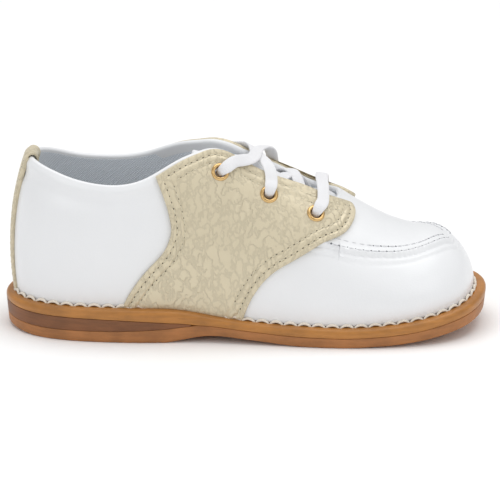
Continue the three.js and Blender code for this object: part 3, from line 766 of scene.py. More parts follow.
MAKERS = {
    "white_leather": white_leather,
    "beige_leather": beige_leather,
    "amber_rubber": lambda: rubber("amber_rubber", colours().midsole, 0.42, 0.45),
    "brown_rubber": lambda: rubber("brown_rubber", colours().wedge, 0.5, 0.6),
    "tan_rubber": lambda: rubber("tan_rubber", colours().outsole, 0.55, 0.35),
    "lining_cloth": lambda: woven("lining_cloth", colours().lining, 0.9, 0.12),
    "sock_cloth": lambda: woven("sock_cloth", colours().sock, 0.8, 0.08),
    "lace_cotton": lace_cotton,
    "cream_thread": lambda: thread("cream_thread", colours().cream_thread),
    "white_thread": lambda: thread("white_thread", colours().white_thread),
    "sole_thread": lambda: thread("sole_thread", colours().sole_thread),
    "brass": brass,
    # Near-black dots: painted shade for the dark inside of the saddles' and strip's needle holes
    "painted_hole_shade": lambda: plain("painted_hole_shade", (0.035, 0.028, 0.02)),
    # Grey dots: painted shade for the inside of the moc seam's needle holes
    "painted_grey_hole_shade": lambda: plain("painted_grey_hole_shade", (0.16, 0.17, 0.19)),
}


def finish_piece(obj, material, slot, *nodes):
    """Gives a piece its material, the body it rides on and the solids that it stands for."""
    found = bpy.data.materials.get("dressed_" + material) or MAKERS[material]()
    obj.data.materials.clear()
    obj.data.materials.append(found)
    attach(obj, "root")
    if nodes:
        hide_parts(*nodes)
    return obj


# The sole

SOLE_STEPS = 180


def sole_ring(height, inset, end_turn):
    """A ring round the sole, whose side walls lean in towards the floor."""
    turns = np.linspace(0, end_turn, SOLE_STEPS + 1)

    def side_points(side):
        layer = layers(share_at(turns))
        lean = SIDE_TAPER * (layer["top"] - height(layer)) / (layer["top"] - layer["floor"])
        place = outline_point(turns, side, lean + inset)
        at = np.clip(place[:, 0] / SOLE_LENGTH, 0, 1)
        return np.column_stack([place, height(layers(at))])

    return np.concatenate([side_points(LATERAL), side_points(MEDIAL)[::-1]])


def layer_rings(bottom, top, low_round, high_round, end_turn=math.pi):
    """Rings up a layer of the sole, with its lower and upper edges rounded."""
    rings = []
    for angle in np.linspace(0, math.pi / 2, 6):
        lift = low_round * (1 - math.cos(angle))
        inset = low_round * (1 - math.sin(angle))
        rings.append(sole_ring(lambda layer, up=lift: bottom(layer) + up, inset, end_turn))
    for angle in np.linspace(0, math.pi / 2, 6):
        fall = high_round * (1 - math.sin(angle))
        inset = high_round * (1 - math.cos(angle))
        rings.append(sole_ring(lambda layer, down=fall: top(layer) - down, inset, end_turn))
    return rings


def rough_edge(s):
    """Small ups and downs of the outsole's cut edge."""
    return 0.07 * np.sin(1.7 * s) + 0.06 * np.sin(4.1 * s + 1) + 0.05 * np.sin(9.3 * s + 2)


def build_outsole():
    rings = layer_rings(
        lambda layer: layer["floor"], lambda layer: layer["outsole_top"] + 0.12, 0.6, 0.28,
    )
    for ring in rings[1:5]:
        s = np.arange(len(ring)) * 0.9
        ring[:, 2] += np.maximum(0, rough_edge(s)) * 0.7
    finish_piece(ring_piece("sole_outer", rings), "tan_rubber", "tan_rubber", "outsole")


def build_wedge():
    at = WEDGE["at"][-1]
    while WEDGE_THICKNESS * wedge_share(at) < GAP:
        at -= 0.001
    rings = layer_rings(
        lambda layer: layer["wedge_bottom"] - 0.1, lambda layer: layer["wedge_top"] + 0.1, 0.15, 0.15,
        end_turn=float(turn_at(at)),
    )
    finish_piece(ring_piece("sole_wedge", rings), "brown_rubber", "brown_rubber", "heel_wedge")


def build_midsole():
    rings = layer_rings(
        lambda layer: layer["midsole_bottom"] - 0.12, lambda layer: layer["top"], 0.25, 2.0,
    )
    finish_piece(ring_piece("sole_ledge", rings), "amber_rubber", "amber_rubber", "midsole")


def build_ledge_stitches():
    """Crescent-shaped lock stitches on the ledge, close to the upper."""
    pitch = sizes().ledge_stitch
    turns = np.linspace(0, math.pi, 900)
    out = 0.75

    def line(side):
        place = outline_point(turns, side, LEDGE_WIDTH * ledge_share(share_at(turns)) - out)
        top = layers(np.clip(place[:, 0] / SOLE_LENGTH, 0, 1))["top"]
        return np.column_stack([place, top])

    loop = np.concatenate([line(LATERAL), line(MEDIAL)[-2:0:-1]])
    loop = np.vstack([loop, loop[:1]])
    length = np.linalg.norm(np.diff(loop, axis=0), axis=1).sum()
    count = round(length / pitch)
    places = resample(loop, 2 * count + 1)
    half = 0.47 * length / count
    share = np.linspace(-1, 1, 13)
    path = np.column_stack([half * share, 0 * share, 1.15 * np.cos(share * math.pi / 2) ** 0.75 - 0.25])
    radii = 0.3 + 0.2 * np.cos(share * math.pi / 2)
    points, faces = tube_shape(path, radii, 10)
    frames = []
    for k in range(count):
        centre = places[2 * k + 1]
        along = unit(places[2 * k + 2] - places[2 * k])
        up = np.array([0.0, 0.0, 1.0])
        across = unit(np.cross(up, along))
        lean = unit(up + 0.25 * across)
        frames.append((centre, (along, across, lean)))
    obj = scatter("ledge_stitches", points, faces, frames)
    finish_piece(obj, "sole_thread", "white_cotton")


# The upper

ROWS = 56


def column_turns():
    """Turns of the upper's columns, close together at the throat's front end, and the last one it opens."""
    end = THROAT_END - 1e-3
    start = end - THROAT_ROUND / SOLE_LENGTH
    plain_part = np.linspace(0, float(turn_at(start)), 150, endpoint=False)
    rounded = turn_at(start + (end - start) * np.sin(np.linspace(0, math.pi / 2, 9)))
    front = np.linspace(float(turn_at(end)), math.pi, 110)[1:]
    return np.concatenate([plain_part, rounded, front]), len(plain_part) + len(rounded) - 1


def plug_line():
    """The moc seam on both sides, from under the saddle to the middle of the toe."""
    x = np.linspace(0.56 * SOLE_LENGTH, 0.93 * SOLE_LENGTH, 500)
    x = x[plug_height(x) < comb(x) - 0.01]
    end = x[-1]
    x = end - (end - x[0]) * np.linspace(1, 0, 260) ** 2
    return x, plug_height(x)


def plug_points():
    x, z = plug_line()
    parts = []
    for side in (LATERAL, MEDIAL):
        turn, up = side_place(side, x, z)
        parts.append(last_point(turn, side, up))
    whole = np.concatenate([parts[0], parts[1][::-1]])
    return resample(whole, 700)


def plug_relief(points, line):
    """Height of the moc seam: a lip at the plug's edge and two sunk rows of stitches below it."""
    near = points[..., 0] > 80
    height = np.zeros(points.shape[:-1])
    chosen = points[near]
    away = distance_to(chosen, line)
    inside = (chosen[:, 2] > plug_height(chosen[:, 0])) & (chosen[:, 0] < line[:, 0].max())
    s = np.where(inside, away, -away)
    level = 0.3 * smooth(s, -0.6, 0.6)
    lip = 0.6 * hump(s, 0.6, 0.8)
    rows = -0.32 * hump(s, -1.0, 0.5) - 0.3 * hump(s, -3.4, 0.5) + 0.2 * hump(s, -2.2, 0.9)
    height[near] = level + lip + rows
    return height


# Soft hollows and swellings of the leather, seen from the side: centre, half lengths, lean and height
SOFT_FORMS = table("x z long high lean height", [
    (22, 40, 16, 9, -10, 0.35), (36, 24, 20, 8, 8, -0.3), (98, 22, 16, 5, 35, -0.3),
    (112, 31, 14, 4, 28, 0.22), (122, 20, 18, 6, 5, -0.25), (140, 20, 10, 7, -40, 0.25),
])


def soft_relief(points):
    height = np.zeros(points.shape[:-1])
    for k in range(len(SOFT_FORMS["x"])):
        form = {name: column[k] for name, column in SOFT_FORMS.items()}
        lean = math.radians(form["lean"])
        dx, dz = points[..., 0] - form["x"], points[..., 2] - form["z"]
        u = (dx * math.cos(lean) + dz * math.sin(lean)) / form["long"]
        v = (dz * math.cos(lean) - dx * math.sin(lean)) / form["high"]
        height += form["height"] * np.exp(-(u * u + v * v))
    return height


def rim_frames(edge, normal):
    """Along and outward directions on the border of the opening, which is a closed loop."""
    along = unit(np.roll(edge, -1, 0) - np.roll(edge, 1, 0))
    out = unit(np.cross(along, normal))
    return np.where(out[:, 2:] < 0, -out, out)


def build_upper():
    turns, opened = column_turns()
    share = np.linspace(0, 1, ROWS)[:, None]
    line = plug_points()
    sheets, edges, looks = [], [], []
    for side in (LATERAL, MEDIAL):
        sides = np.full(turns.shape, side)
        top = np.where(np.arange(len(turns)) <= opened, edge_up(turns, sides), 1.0)
        points, normals = place_at(turns[None, :], np.broadcast_to(sides, (ROWS, len(turns))), share * top)
        border_line = points[-1, :opened + 1]
        below = distance_to(points, border_line)
        collar = 1 - smooth(points[..., 0], 46, 54)
        height = plug_relief(points, line) + soft_relief(points) * smooth(share, 0, 0.2) * (share < 1)
        height += collar * (0.4 * hump(below, 1.5, 1.3) - 0.35 * hump(below, 5.5, 2.4))
        sheets.append(points + normals * height[..., None])
        edges.append(sheets[-1][-1, :opened + 1])
        looks.append(normals[-1, :opened + 1])
    middle = (sheets[0][-1, opened + 1:] + sheets[1][-1, opened + 1:]) / 2
    for sheet in sheets:
        sheet[-1, opened + 1:] = middle
        sheet[:, 0, 1] = 0
    front = (edges[0][-1] + edges[1][-1]) / 2
    for sheet in sheets:
        sheet[-1, opened] = front
    edge = np.concatenate([sheets[0][-1, :opened + 1], sheets[1][-1, opened - 1:0:-1]])
    look = unit(np.concatenate([looks[0], looks[1][-2:0:-1]]))
    out = rim_frames(edge, look)
    rim = [edge]
    bend = WALL / 2
    for angle in np.linspace(0, math.pi, 10)[1:]:
        rim.append(edge - look * bend + bend * (math.cos(angle) * look + math.sin(angle) * out))
    for depth in (0.9, 1.8, 2.8):
        rim.append(edge - look * 2 * bend - out * depth)
    points, faces = [], []
    for sheet in sheets:
        start = sum(len(p) for p in points)
        points.append(sheet.reshape(-1, 3))
        faces += grid_faces(ROWS, len(turns), start)
    start = sum(len(p) for p in points)
    points.append(np.concatenate(rim))
    faces += grid_faces(len(rim), len(edge), start, closed=True)
    obj = tidy_mesh(mesh_piece("upper_leather", np.concatenate(points), faces))
    turn_sheet_out(obj)
    apply_modifier(obj, "SOLIDIFY", thickness=0.0006, offset=-1.0)
    choose(obj)
    bpy.ops.object.shade_smooth_by_angle(angle=math.radians(45))
    finish_piece(obj, "white_leather", "white_leather", "upper")


def turn_sheet_out(obj):
    """Faces of an open shell point away from the foot: those on top of the toe point upwards."""
    toe = [f for f in obj.data.polygons if f.center.x > 0.045 and abs(f.center.y) < 0.01]
    if sum(f.normal.z * f.area for f in toe) < 0:
        choose(obj)
        bpy.ops.object.mode_set(mode="EDIT")
        bpy.ops.mesh.select_all(action="SELECT")
        bpy.ops.mesh.flip_normals()
        bpy.ops.object.mode_set(mode="OBJECT")


# The lining stops at this column of the upper, where the throat has ended
LINING_END = 165


def build_lining():
    """The woven lining on the inside of collar, quarters and facings."""
    turns = column_turns()[0][:LINING_END:2]
    rows = 30
    for side, name in ((LATERAL, "lining_lateral"), (MEDIAL, "lining_medial")):
        sides = np.full(turns.shape, side)
        top = edge_up(turns, sides)
        share = np.linspace(0.02, 0.985, rows)[:, None]
        points, normals = place_at(turns[None, :], np.broadcast_to(sides, (rows, len(turns))), share * top)
        inside = points - normals * (WALL - 0.35)
        if side < 0:
            inside, normals = inside[:, ::-1], normals[:, ::-1]
        along = np.append(0, np.cumsum(np.linalg.norm(np.diff(points[rows // 2], axis=0), axis=1)))
        high = np.append(0, np.cumsum(np.linalg.norm(np.diff(points[:, 20], axis=0), axis=1)))
        uv = np.stack(np.broadcast_arrays(along[None, :], high[:, None]), -1)
        obj = slab(name, inside, normals, 0.3, 0.1, 2, uv)
        finish_piece(obj, "lining_cloth", "white_leather")


def build_insole():
    turns = np.linspace(0.06, math.pi - 0.06, 90)
    across = np.linspace(0, 1, 26)[:, None, None]
    inset = LEDGE_WIDTH * ledge_share(share_at(turns)) + WALL + 0.8
    low = outline_point(turns, LATERAL, inset)
    high = outline_point(turns, MEDIAL, inset)
    place = low[None] * (1 - across) + high[None] * across
    z = layers(np.clip(place[..., 0] / SOLE_LENGTH, 0, 1))["top"] + GAP + 1.6
    cup = 0.5 * (2 * across[..., 0] - 1) ** 2 * (1 - smooth(place[..., 0], 20, 60))
    top = np.concatenate([place, (z - 0.5 * (1 - smooth(place[..., 0], 20, 60)) + cup)[..., None]], -1)
    normals = np.zeros(top.shape)
    normals[..., 2] = 1
    uv = place
    finish_piece(slab("sock_lining", top, normals, 1.0, 0.4, 3, uv), "sock_cloth", "insole_board", "insole")


# Saddles

def warp(share, strength=0.6):
    """Brings grid lines closer together at both ends."""
    return share - strength * np.sin(2 * math.pi * share) / (2 * math.pi)


def at_fractions(points, fractions):
    length = np.append(0, np.cumsum(np.linalg.norm(np.diff(points, axis=0), axis=1)))
    return np.stack([np.interp(fractions * length[-1], length, column) for column in points.T], -1)


def coons(bottom, right, top, left, across, along):
    """A sheet between four border lines, in the last's own turn and up."""
    s, v = across[None, :, None], along[:, None, None]
    ruled = (1 - v) * bottom[None] + v * top[None] + (1 - s) * left[:, None] + s * right[:, None]
    corners = (1 - s) * (1 - v) * bottom[0] + s * (1 - v) * bottom[-1]
    return ruled - corners - (1 - s) * v * top[0] - s * v * top[-1]


def joined(first, second):
    return {name: np.append(first[name], second[name][1:]) for name in first}


def backwards(rows):
    return {name: column[::-1] for name, column in rows.items()}


def saddle_lines(side):
    """The saddle's rear, top and front lines as seen from the side, each from the heel or the floor up."""
    rear = smooth_curve(SADDLE_REAR)
    facing = smooth_curve(FACING)
    front = smooth_curve(backwards(joined(SADDLE_TIP, SADDLE_FRONT)))
    below = 0.3 * (1 - smooth(facing[:, 0], 106, 111.5))
    facing[:, 1] -= below + drop_of(facing[:, 0], side)
    rear[:, 1] += (facing[0, 1] - rear[-1, 1]) * smooth(rear[:, 1], 44, rear[-1, 1])
    front[:, 1] += (facing[-1, 1] - front[-1, 1]) * smooth(front[:, 1], 38, front[-1, 1])
    return rear, facing, front


def on_last(side, line):
    turn, up = side_place(side, line[:, 0], line[:, 1])
    return np.stack([turn, up], -1)


def saddle_level(up):
    return GAP + 0.7 + (OVERLAY - 0.7) * np.minimum(1, 4 * up)


# How far the two rows of stitches lie from a saddle's edge
SEAM_ROWS = (1.7, 4.2)


def seam_relief(inside):
    """Two sunk rows of stitches with the leather puffed between and behind them."""
    rows = -0.32 * hump(inside, SEAM_ROWS[0], 0.5) - 0.32 * hump(inside, SEAM_ROWS[1], 0.5)
    return rows + 0.16 * hump(inside, sum(SEAM_ROWS) / 2, 0.8) + 0.2 * smooth(inside, 4.6, 9)


# Wrinkles of the saddle's soft leather seen from the side: middle, half length, half width, lean, depth
WRINKLES = table("x z long wide lean depth", [
    (79, 44, 6, 0.9, 84, 0.28), (82.5, 42, 7, 0.8, 96, 0.22), (86, 40, 5, 0.9, 80, 0.2),
    (94, 40, 6, 0.9, 100, 0.28), (97.5, 38, 5, 0.8, 82, 0.22), (72, 46, 7, 1.1, 70, 0.22),
    (65, 47, 8, 1.2, 50, 0.18), (62, 36, 9, 1.4, 20, 0.18), (70, 30, 9, 1.5, -15, 0.16),
    (84, 30, 7, 1.3, 115, 0.16), (101, 42, 4, 0.8, 110, 0.2),
])


def wrinkle_relief(points):
    height = np.zeros(points.shape[:-1])
    for x, z, long, wide, lean, depth in zip(*WRINKLES.values()):
        angle = math.radians(lean)
        dx, dz = points[..., 0] - x, points[..., 2] - z
        u = (dx * math.cos(angle) + dz * math.sin(angle)) / long
        v = dz * math.cos(angle) - dx * math.sin(angle) + 0.5 * np.sin(2.2 * u + x)
        fold = np.exp(-(v / wide) ** 2) - 0.5 * np.exp(-((v - 2 * wide) / wide) ** 2)
        height -= depth * fold * np.exp(-u ** 4)
    return height


def build_saddle(side):
    name = "lateral" if side < 0 else "medial"
    rear, facing, front = saddle_lines(side)
    across, along = warp(np.linspace(0, 1, 120)), warp(np.linspace(0, 1, 130))
    left = on_last(side, at_fractions(rear, along))
    right = on_last(side, at_fractions(front, along))
    top = on_last(side, at_fractions(facing, across))
    base = np.stack([np.linspace(rear[0, 0], front[0, 0], 120), np.zeros(120)], -1)
    bottom = on_last(side, at_fractions(base, across))
    left[0], right[0], top[0], top[-1] = bottom[0], bottom[-1], left[-1], right[-1]
    grid = coons(bottom, right, top, left, across, along)
    turn, up = grid[..., 0], np.clip(grid[..., 1], 0, 1)
    sides = np.full(turn.shape, side)
    points, normals = place_at(turn, sides, up)
    edge = np.concatenate([points[:, 0], points[-1], points[::-1, -1]])
    inside = distance_to(points, resample_loop(edge))
    level = saddle_level(up) + seam_relief(inside) + wrinkle_relief(points) * smooth(inside, 4.5, 8)
    if side > 0:
        points, normals, level, inside = (a[:, ::-1] for a in (points, normals, level, inside))
    raised = points + normals * level[..., None]
    obj = slab("saddle_leather_" + name, raised, normals, level - 0.1, 0.35, 4)
    finish_piece(obj, "beige_leather", "beige_leather", "saddle_" + name)


def resample_loop(points):
    """A dense copy of a border line, so that distances to it are smooth."""
    length = np.linalg.norm(np.diff(points, axis=0), axis=1).sum()
    return resample(points, int(length / 0.15))


# Stitches

def step_across(turn, up, side, direction, distance):
    """Moves over the last's surface by a distance along a direction."""
    small = 1e-4
    for _ in range(6):
        here = last_point(turn, side, up)
        by_turn = (last_point(turn + small, side, up) - here) / small
        by_up = (last_point(turn, side, up + small) - here) / small
        aa, ab, bb = (by_turn ** 2).sum(-1), (by_turn * by_up).sum(-1), (by_up ** 2).sum(-1)
        ad, bd = (by_turn * direction).sum(-1), (by_up * direction).sum(-1)
        det = aa * bb - ab * ab
        turn = turn + distance / 6 * (ad * bb - bd * ab) / det
        up = up + distance / 6 * (bd * aa - ad * ab) / det
    return turn, up


def seam_line(side, line, inset, whole):
    """A line beside an edge on the last, without the stretches that come too near another edge."""
    flat = on_last(side, line)
    sides = np.full(len(flat), side)
    points, normals = place_at(flat[:, 0], sides, flat[:, 1])
    along = unit(np.gradient(points, axis=0))
    inward = unit(np.cross(normals, along)) * side
    turn, up = step_across(flat[:, 0], flat[:, 1], sides, inward, inset)
    points, normals = place_at(turn, sides, np.clip(up, 0, 1))
    far = distance_to(points, whole) > abs(inset) - 0.12
    return points[far], normals[far], np.clip(up, 0, 1)[far]


def stitch_frames(points, normals, levels, pitch, phase=0.0):
    """Frames of the stitches along a seam, and of the needle holes between them."""
    length = np.append(0, np.cumsum(np.linalg.norm(np.diff(points, axis=0), axis=1)))
    raised = points + normals * levels[:, None]
    spots = np.arange(phase * pitch + 0.5 * pitch, length[-1] - 0.4 * pitch, pitch)

    def sample(values, places):
        return np.stack([np.interp(places, length, column) for column in values.T], -1)

    stitches, holes = [], []
    for spots_here, store in ((spots, stitches), (spots + pitch / 2, holes)):
        centre = sample(raised, spots_here)
        ahead = unit(sample(raised, spots_here + 0.3) - sample(raised, spots_here - 0.3))
        look = unit(sample(normals, spots_here))
        side_way = unit(np.cross(look, ahead))
        store += [(c, (a, w, n)) for c, a, w, n in zip(centre, ahead, side_way, look)]
    return stitches, holes


def stitch_shape(length, radius):
    share = np.linspace(-1, 1, 7)
    arch = radius * 0.9 * (np.cos(share * math.pi / 2) - 0.5)
    path = np.column_stack([length / 2 * share, 0 * share, arch])
    return tube_shape(path, radius * (0.75 + 0.25 * np.cos(share * math.pi / 2)), 6)


def hole_shape(radius):
    """A shallow round dot; its near-black or grey material is painted shade for the inside of a needle hole.
    """
    count = 10
    angle = np.linspace(0, 2 * math.pi, count, endpoint=False)
    rim = np.column_stack([radius * np.cos(angle), radius * np.sin(angle), np.zeros(count)])
    low = rim * (1.15, 1.15, 0) + (0, 0, -0.18)
    points = np.vstack([rim, low, [(0, 0, 0.03)], [(0, 0, -0.2)]])
    faces = grid_faces(2, count, closed=True)
    faces = [tuple(reversed(face)) for face in faces]
    faces += [(2 * count, k, (k + 1) % count) for k in range(count)]
    faces += [(2 * count + 1, count + (k + 1) % count, count + k) for k in range(count)]
    return points, faces


def stitch_row(name, frames, pitch, radius, material):
    points, faces = stitch_shape(0.72 * pitch, radius)
    finish_piece(scatter(name, points, faces, frames), material, "white_cotton")


# A row of dark dots: painted shade standing for the inside of needle holes
def hole_shade_row(name, frames, radius, material):
    points, faces = hole_shape(radius)
    finish_piece(scatter(name, points, faces, frames), material, "white_cotton")


def build_saddle_stitches():
    pitch = sizes().saddle_stitch
    for side, name in ((LATERAL, "lateral"), (MEDIAL, "medial")):
        rear, facing, front = saddle_lines(side)
        dense = [at_fractions(line, np.linspace(0, 1, 240)) for line in (rear, facing, front)]
        places = [on_last(side, line) for line in dense]
        whole = np.concatenate([last_point(p[:, 0], np.full(len(p), side), p[:, 1]) for p in places])
        whole = np.concatenate([resample_loop(whole[k * 240:(k + 1) * 240]) for k in range(3)])
        stitches, holes = [], []
        for row, inset in enumerate(SEAM_ROWS):
            for line, turned in ((dense[0], 1), (dense[1], 1), (dense[2], -1)):
                points, normals, up = seam_line(side, line, turned * inset, whole)
                level = saddle_level(up) + seam_relief(np.array(inset)) + 0.02
                ahead, dots = stitch_frames(points, normals, level, pitch, 0.5 * row)
                stitches += ahead
                holes += dots
        stitch_row("saddle_stitches_" + name, stitches, pitch, 0.2, "cream_thread")
        # Near-black dots between the stitches: painted shade of the needle holes
        hole_shade_row("saddle_hole_shade_" + name, holes, 0.36, "painted_hole_shade")


def build_moc_stitches():
    pitch = sizes().moc_stitch
    x, z = plug_line()
    line = np.column_stack([x, z])
    whole = plug_points()
    stitches, holes = [], []
    for side in (LATERAL, MEDIAL):
        for row, away in enumerate((1.0, 3.4)):
            points, normals, _ = seam_line(side, line, -away, whole)
            keep = points[:, 0] > 104
            points, normals = points[keep], normals[keep]
            level = plug_relief(points, whole) + 0.02
            ahead, dots = stitch_frames(points, normals, level, pitch, 0.5 * row)
            stitches += ahead
            holes += dots
    stitch_row("moc_stitches", stitches, pitch, 0.2, "white_thread")
    # Grey dots between the stitches: painted shade of the moc seam's needle holes
    hole_shade_row("moc_hole_shade", holes, 0.32, "painted_grey_hole_shade")


# Strip up the heel

def build_back_strip():
    half = STRIP_WIDTH / 2
    across = np.linspace(-half, half, 27)
    sides = np.where(across < 0, LATERAL, MEDIAL)
    rows = 60

    def turn_for(up):
        zero = np.zeros(up.shape)
        wanted = np.abs(across)[None] if up.ndim == 2 else np.abs(across)
        spread = np.broadcast_to(sides, up.shape)
        return bisect(lambda t: last_point(t, spread, up)[..., 1] * spread > wanted, zero, zero + 1.2)

    top = np.full(across.shape, 0.6)
    for _ in range(6):
        top = edge_up(turn_for(top), sides)
    share = np.linspace(0, 1, rows)[:, None]
    up = share * top[None]
    spread = np.broadcast_to(sides, up.shape)
    points, normals = place_at(turn_for(up), spread, up)
    level = saddle_level(up) - 0.1
    level += -0.12 * hump(half - np.abs(across)[None], 1.3, 0.5)
    edge, look = points[-1], normals[-1]
    along = unit(np.gradient(edge, axis=0))
    out = unit(np.cross(along, look))
    out = np.where(out[:, 2:] < 0, -out, out)
    bend = WALL / 2 + level[-1][:, None]
    fold, fold_look = [], []
    for angle in np.linspace(0, math.pi, 12)[1:]:
        ray = math.cos(angle) * look + math.sin(angle) * out
        fold.append(edge - look * WALL / 2 + bend * ray)
        fold_look.append(ray)
    for depth in (1.2, 2.4, 3.6, STRIP_FOLD):
        fold.append(edge - look * (WALL / 2 + bend) - out * depth)
        fold_look.append(-look)
    grid = np.concatenate([points + normals * level[..., None], np.array(fold)])
    looks = np.concatenate([normals, np.array(fold_look)])
    depth = np.concatenate([level + 0.1, np.full((len(fold), len(across)), 0.85)])
    obj = slab("heel_strip", grid, looks, depth, 0.3, 3)
    finish_piece(obj, "beige_leather", "beige_leather", "back_strip")
    stitches, holes = [], []
    for column in (3, -4):
        height = np.full(rows, 0.02)
        ahead, dots = stitch_frames(grid[:rows, column], looks[:rows, column], height, sizes().saddle_stitch)
        stitches += ahead
        holes += dots
    stitch_row("strip_stitches", stitches, sizes().saddle_stitch, 0.2, "cream_thread")
    hole_shade_row("strip_hole_shade", holes, 0.27, "painted_hole_shade")


# Tongue

# The worn tongue sinks deeper at its top than the solid and starts a little further forward
TONGUE_CORNER = 6.0
TONGUE_BACK = 5.0
TONGUE_SAG = 6.6
LACE_ROOM = 2.2


def tongue_depth(x):
    end = SOLE_LENGTH * THROAT_END
    top = SOLE_LENGTH * TONGUE_TOP_AT
    room = LACE_ROOM * (1 - smooth(x, end - 9, end - 3))
    sag = TONGUE_SAG * (1 - smooth(x, top + 6, top + 28))
    return WALL + GAP + room + sag


def under_last(turn, side, up):
    """A place on the tongue's outside, and the direction in which it looks there."""
    point, normal = place_at(turn, side, up)
    return point - normal * tongue_depth(point[..., 0])[..., None], normal


def build_tongue():
    """The tongue is a rounded rectangle seen from above, and lies under the throat."""
    half, corner = TONGUE_WIDTH / 2, TONGUE_CORNER
    y = half * np.sin(np.linspace(-math.pi / 2, math.pi / 2, 61))[:, None]
    beyond = np.clip(np.abs(y) - (half - corner), 0, corner)
    cut = corner - np.sqrt(corner ** 2 - beyond ** 2)
    start = SOLE_LENGTH * TONGUE_TOP_AT + TONGUE_BACK + cut
    end = SOLE_LENGTH * TONGUE_FRONT_AT - cut
    x = start + (end - start) * np.linspace(0, 1, 90)[None]
    y = np.broadcast_to(y, x.shape)
    middle = TOE_SWING * swing(x / SOLE_LENGTH)
    side = np.where(y < middle, LATERAL, MEDIAL)
    turn = turn_at(x / SOLE_LENGTH)
    low, high = np.full(x.shape, 0.35), np.ones(x.shape)
    for _ in range(5):
        up = bisect(lambda v: (under_last(turn, side, v)[0][..., 1] - y) * side < 0, low, high, 18)
        here = under_last(turn, side, up)[0][..., 0]
        step = (under_last(turn + 1e-3, side, up)[0][..., 0] - here) / 1e-3
        turn = turn + np.clip((x - here) / np.maximum(step, 10), -0.1, 0.1)
    top, normals = under_last(turn, side, up)
    top = top + normals * (0.15 * np.sin(x / 5.5) * (1 - (y / half) ** 2))[..., None]
    obj = slab("tongue_leather", top, normals, 1.9, 0.9, 5)
    finish_piece(obj, "white_leather", "white_leather", "tongue")


# Eyelets

def eyelet_place(side, row):
    x = SOLE_LENGTH * EYELETS["at"][row]
    z = COLLAR_HEIGHT * EYELETS["up"][row] - drop_of(x, side)
    turn, up = side_place(side, np.array([x]), np.array([z]))
    point, normal = place_at(turn, np.array([side]), up)
    return point[0], normal[0]


def build_eyelet(side, row):
    """A brass ring: a tube through the leather whose mouth is rolled out into a domed flange."""
    name = f"eyelet_{'lateral' if side < 0 else 'medial'}_{row + 1}"
    bore, flange = EYELET_BORE / 2, EYELET_FLANGE / 2
    low = -WALL - SADDLE_TOP - 0.2
    profile = [
        (bore, low), (bore + 0.35, low), (bore + 0.35, 0.05), (flange - 0.15, 0.02), (flange, 0.15),
        (flange - 0.1, 0.42), (flange - 0.4, 0.62), (bore + 0.62, 0.72), (bore + 0.3, 0.62),
        (bore + 0.06, 0.3),
        (bore, -0.3),
    ]
    deselect()
    first = profile[0]
    bpy.ops.mesh.primitive_circle_add(vertices=48, radius=first[0] / 1000, location=(0, 0, first[1] / 1000))
    obj = bpy.context.object
    bpy.ops.object.transform_apply(location=True, rotation=True, scale=True)
    obj.name = obj.data.name = name + "_ring"
    bpy.ops.object.mode_set(mode="EDIT")
    bpy.ops.mesh.select_all(action="SELECT")
    for (radius, height), (wide, high) in zip(profile, profile[1:] + profile[:1]):
        bpy.ops.mesh.extrude_edges_move(
            TRANSFORM_OT_translate={"value": (0, 0, (high - height) / 1000)},
        )
        factor = wide / radius
        bpy.ops.transform.resize(value=(factor, factor, 1), center_override=(0, 0, 0))
    bpy.ops.mesh.select_all(action="SELECT")
    bpy.ops.mesh.remove_doubles(threshold=0.000002)
    bpy.ops.mesh.normals_make_consistent(inside=False)
    bpy.ops.object.mode_set(mode="OBJECT")
    point, normal = eyelet_place(side, row)
    centre = Vector(metre(point + normal * SADDLE_TOP))
    turn = Vector((0, 0, 1)).rotation_difference(Vector(normal)).to_matrix().to_4x4()
    obj.data.transform(Matrix.Translation(centre) @ turn)
    choose(obj)
    bpy.ops.object.shade_smooth_by_angle(angle=math.radians(50))
    finish_piece(obj, "brass", "brass", name)


HOLE_ROOM = 0.15
PIERCED = (
    "saddle_leather_lateral", "saddle_leather_medial", "upper_leather", "lining_lateral", "lining_medial",
)


def cut_eyelet_holes():
    """Real holes under the eyelets, through every layer of leather."""
    deselect()
    cutters = []
    for side in (LATERAL, MEDIAL):
        for row in range(len(EYELETS["at"])):
            point, normal = eyelet_place(side, row)
            radius = (EYELET_BORE / 2 + HOLE_ROOM) / 1000
            bpy.ops.mesh.primitive_cylinder_add(vertices=40, radius=radius, depth=0.009)
            cutter = bpy.context.object
            turn = Vector((0, 0, 1)).rotation_difference(Vector(normal)).to_matrix().to_4x4()
            cutter.data.transform(Matrix.Translation(Vector(metre(point))) @ turn)
            cutters.append(cutter)
    deselect()
    for cutter in cutters:
        cutter.select_set(True)
    bpy.context.view_layer.objects.active = cutters[0]
    bpy.ops.object.join()
    joined_cutter = bpy.context.object
    for name in PIERCED:
        obj = bpy.data.objects[name]
        apply_modifier(obj, "BOOLEAN", operation="DIFFERENCE", object=joined_cutter, solver="EXACT")
    choose(joined_cutter)
    bpy.ops.object.delete()


# Laces

def facing_place(side, x, below, level):
    """A place by the edge of a facing, some way below it and above the last."""
    z = edge_spline(x) - below - float(drop_of(x, side))
    turn, up = side_place(side, np.array([x]), np.array([z]))
    point, normal = place_at(turn, np.array([side]), up)
    return point[0] + normal[0] * level, normal[0]


def out_of_eyelet(side, row, towards):
    """Places of a lace as it comes up through an eyelet and lies down towards a point."""
    point, normal = eyelet_place(side, row)
    way = towards - point
    way = unit(way - normal * (way @ normal))
    rise_out = [(0.15, -3.4), (0.2, -0.6), (0.42, 1.3), (1.15, 2.55), (2.6, 3.0)]
    return [(point + way * far + normal * level, normal) for far, level in rise_out]


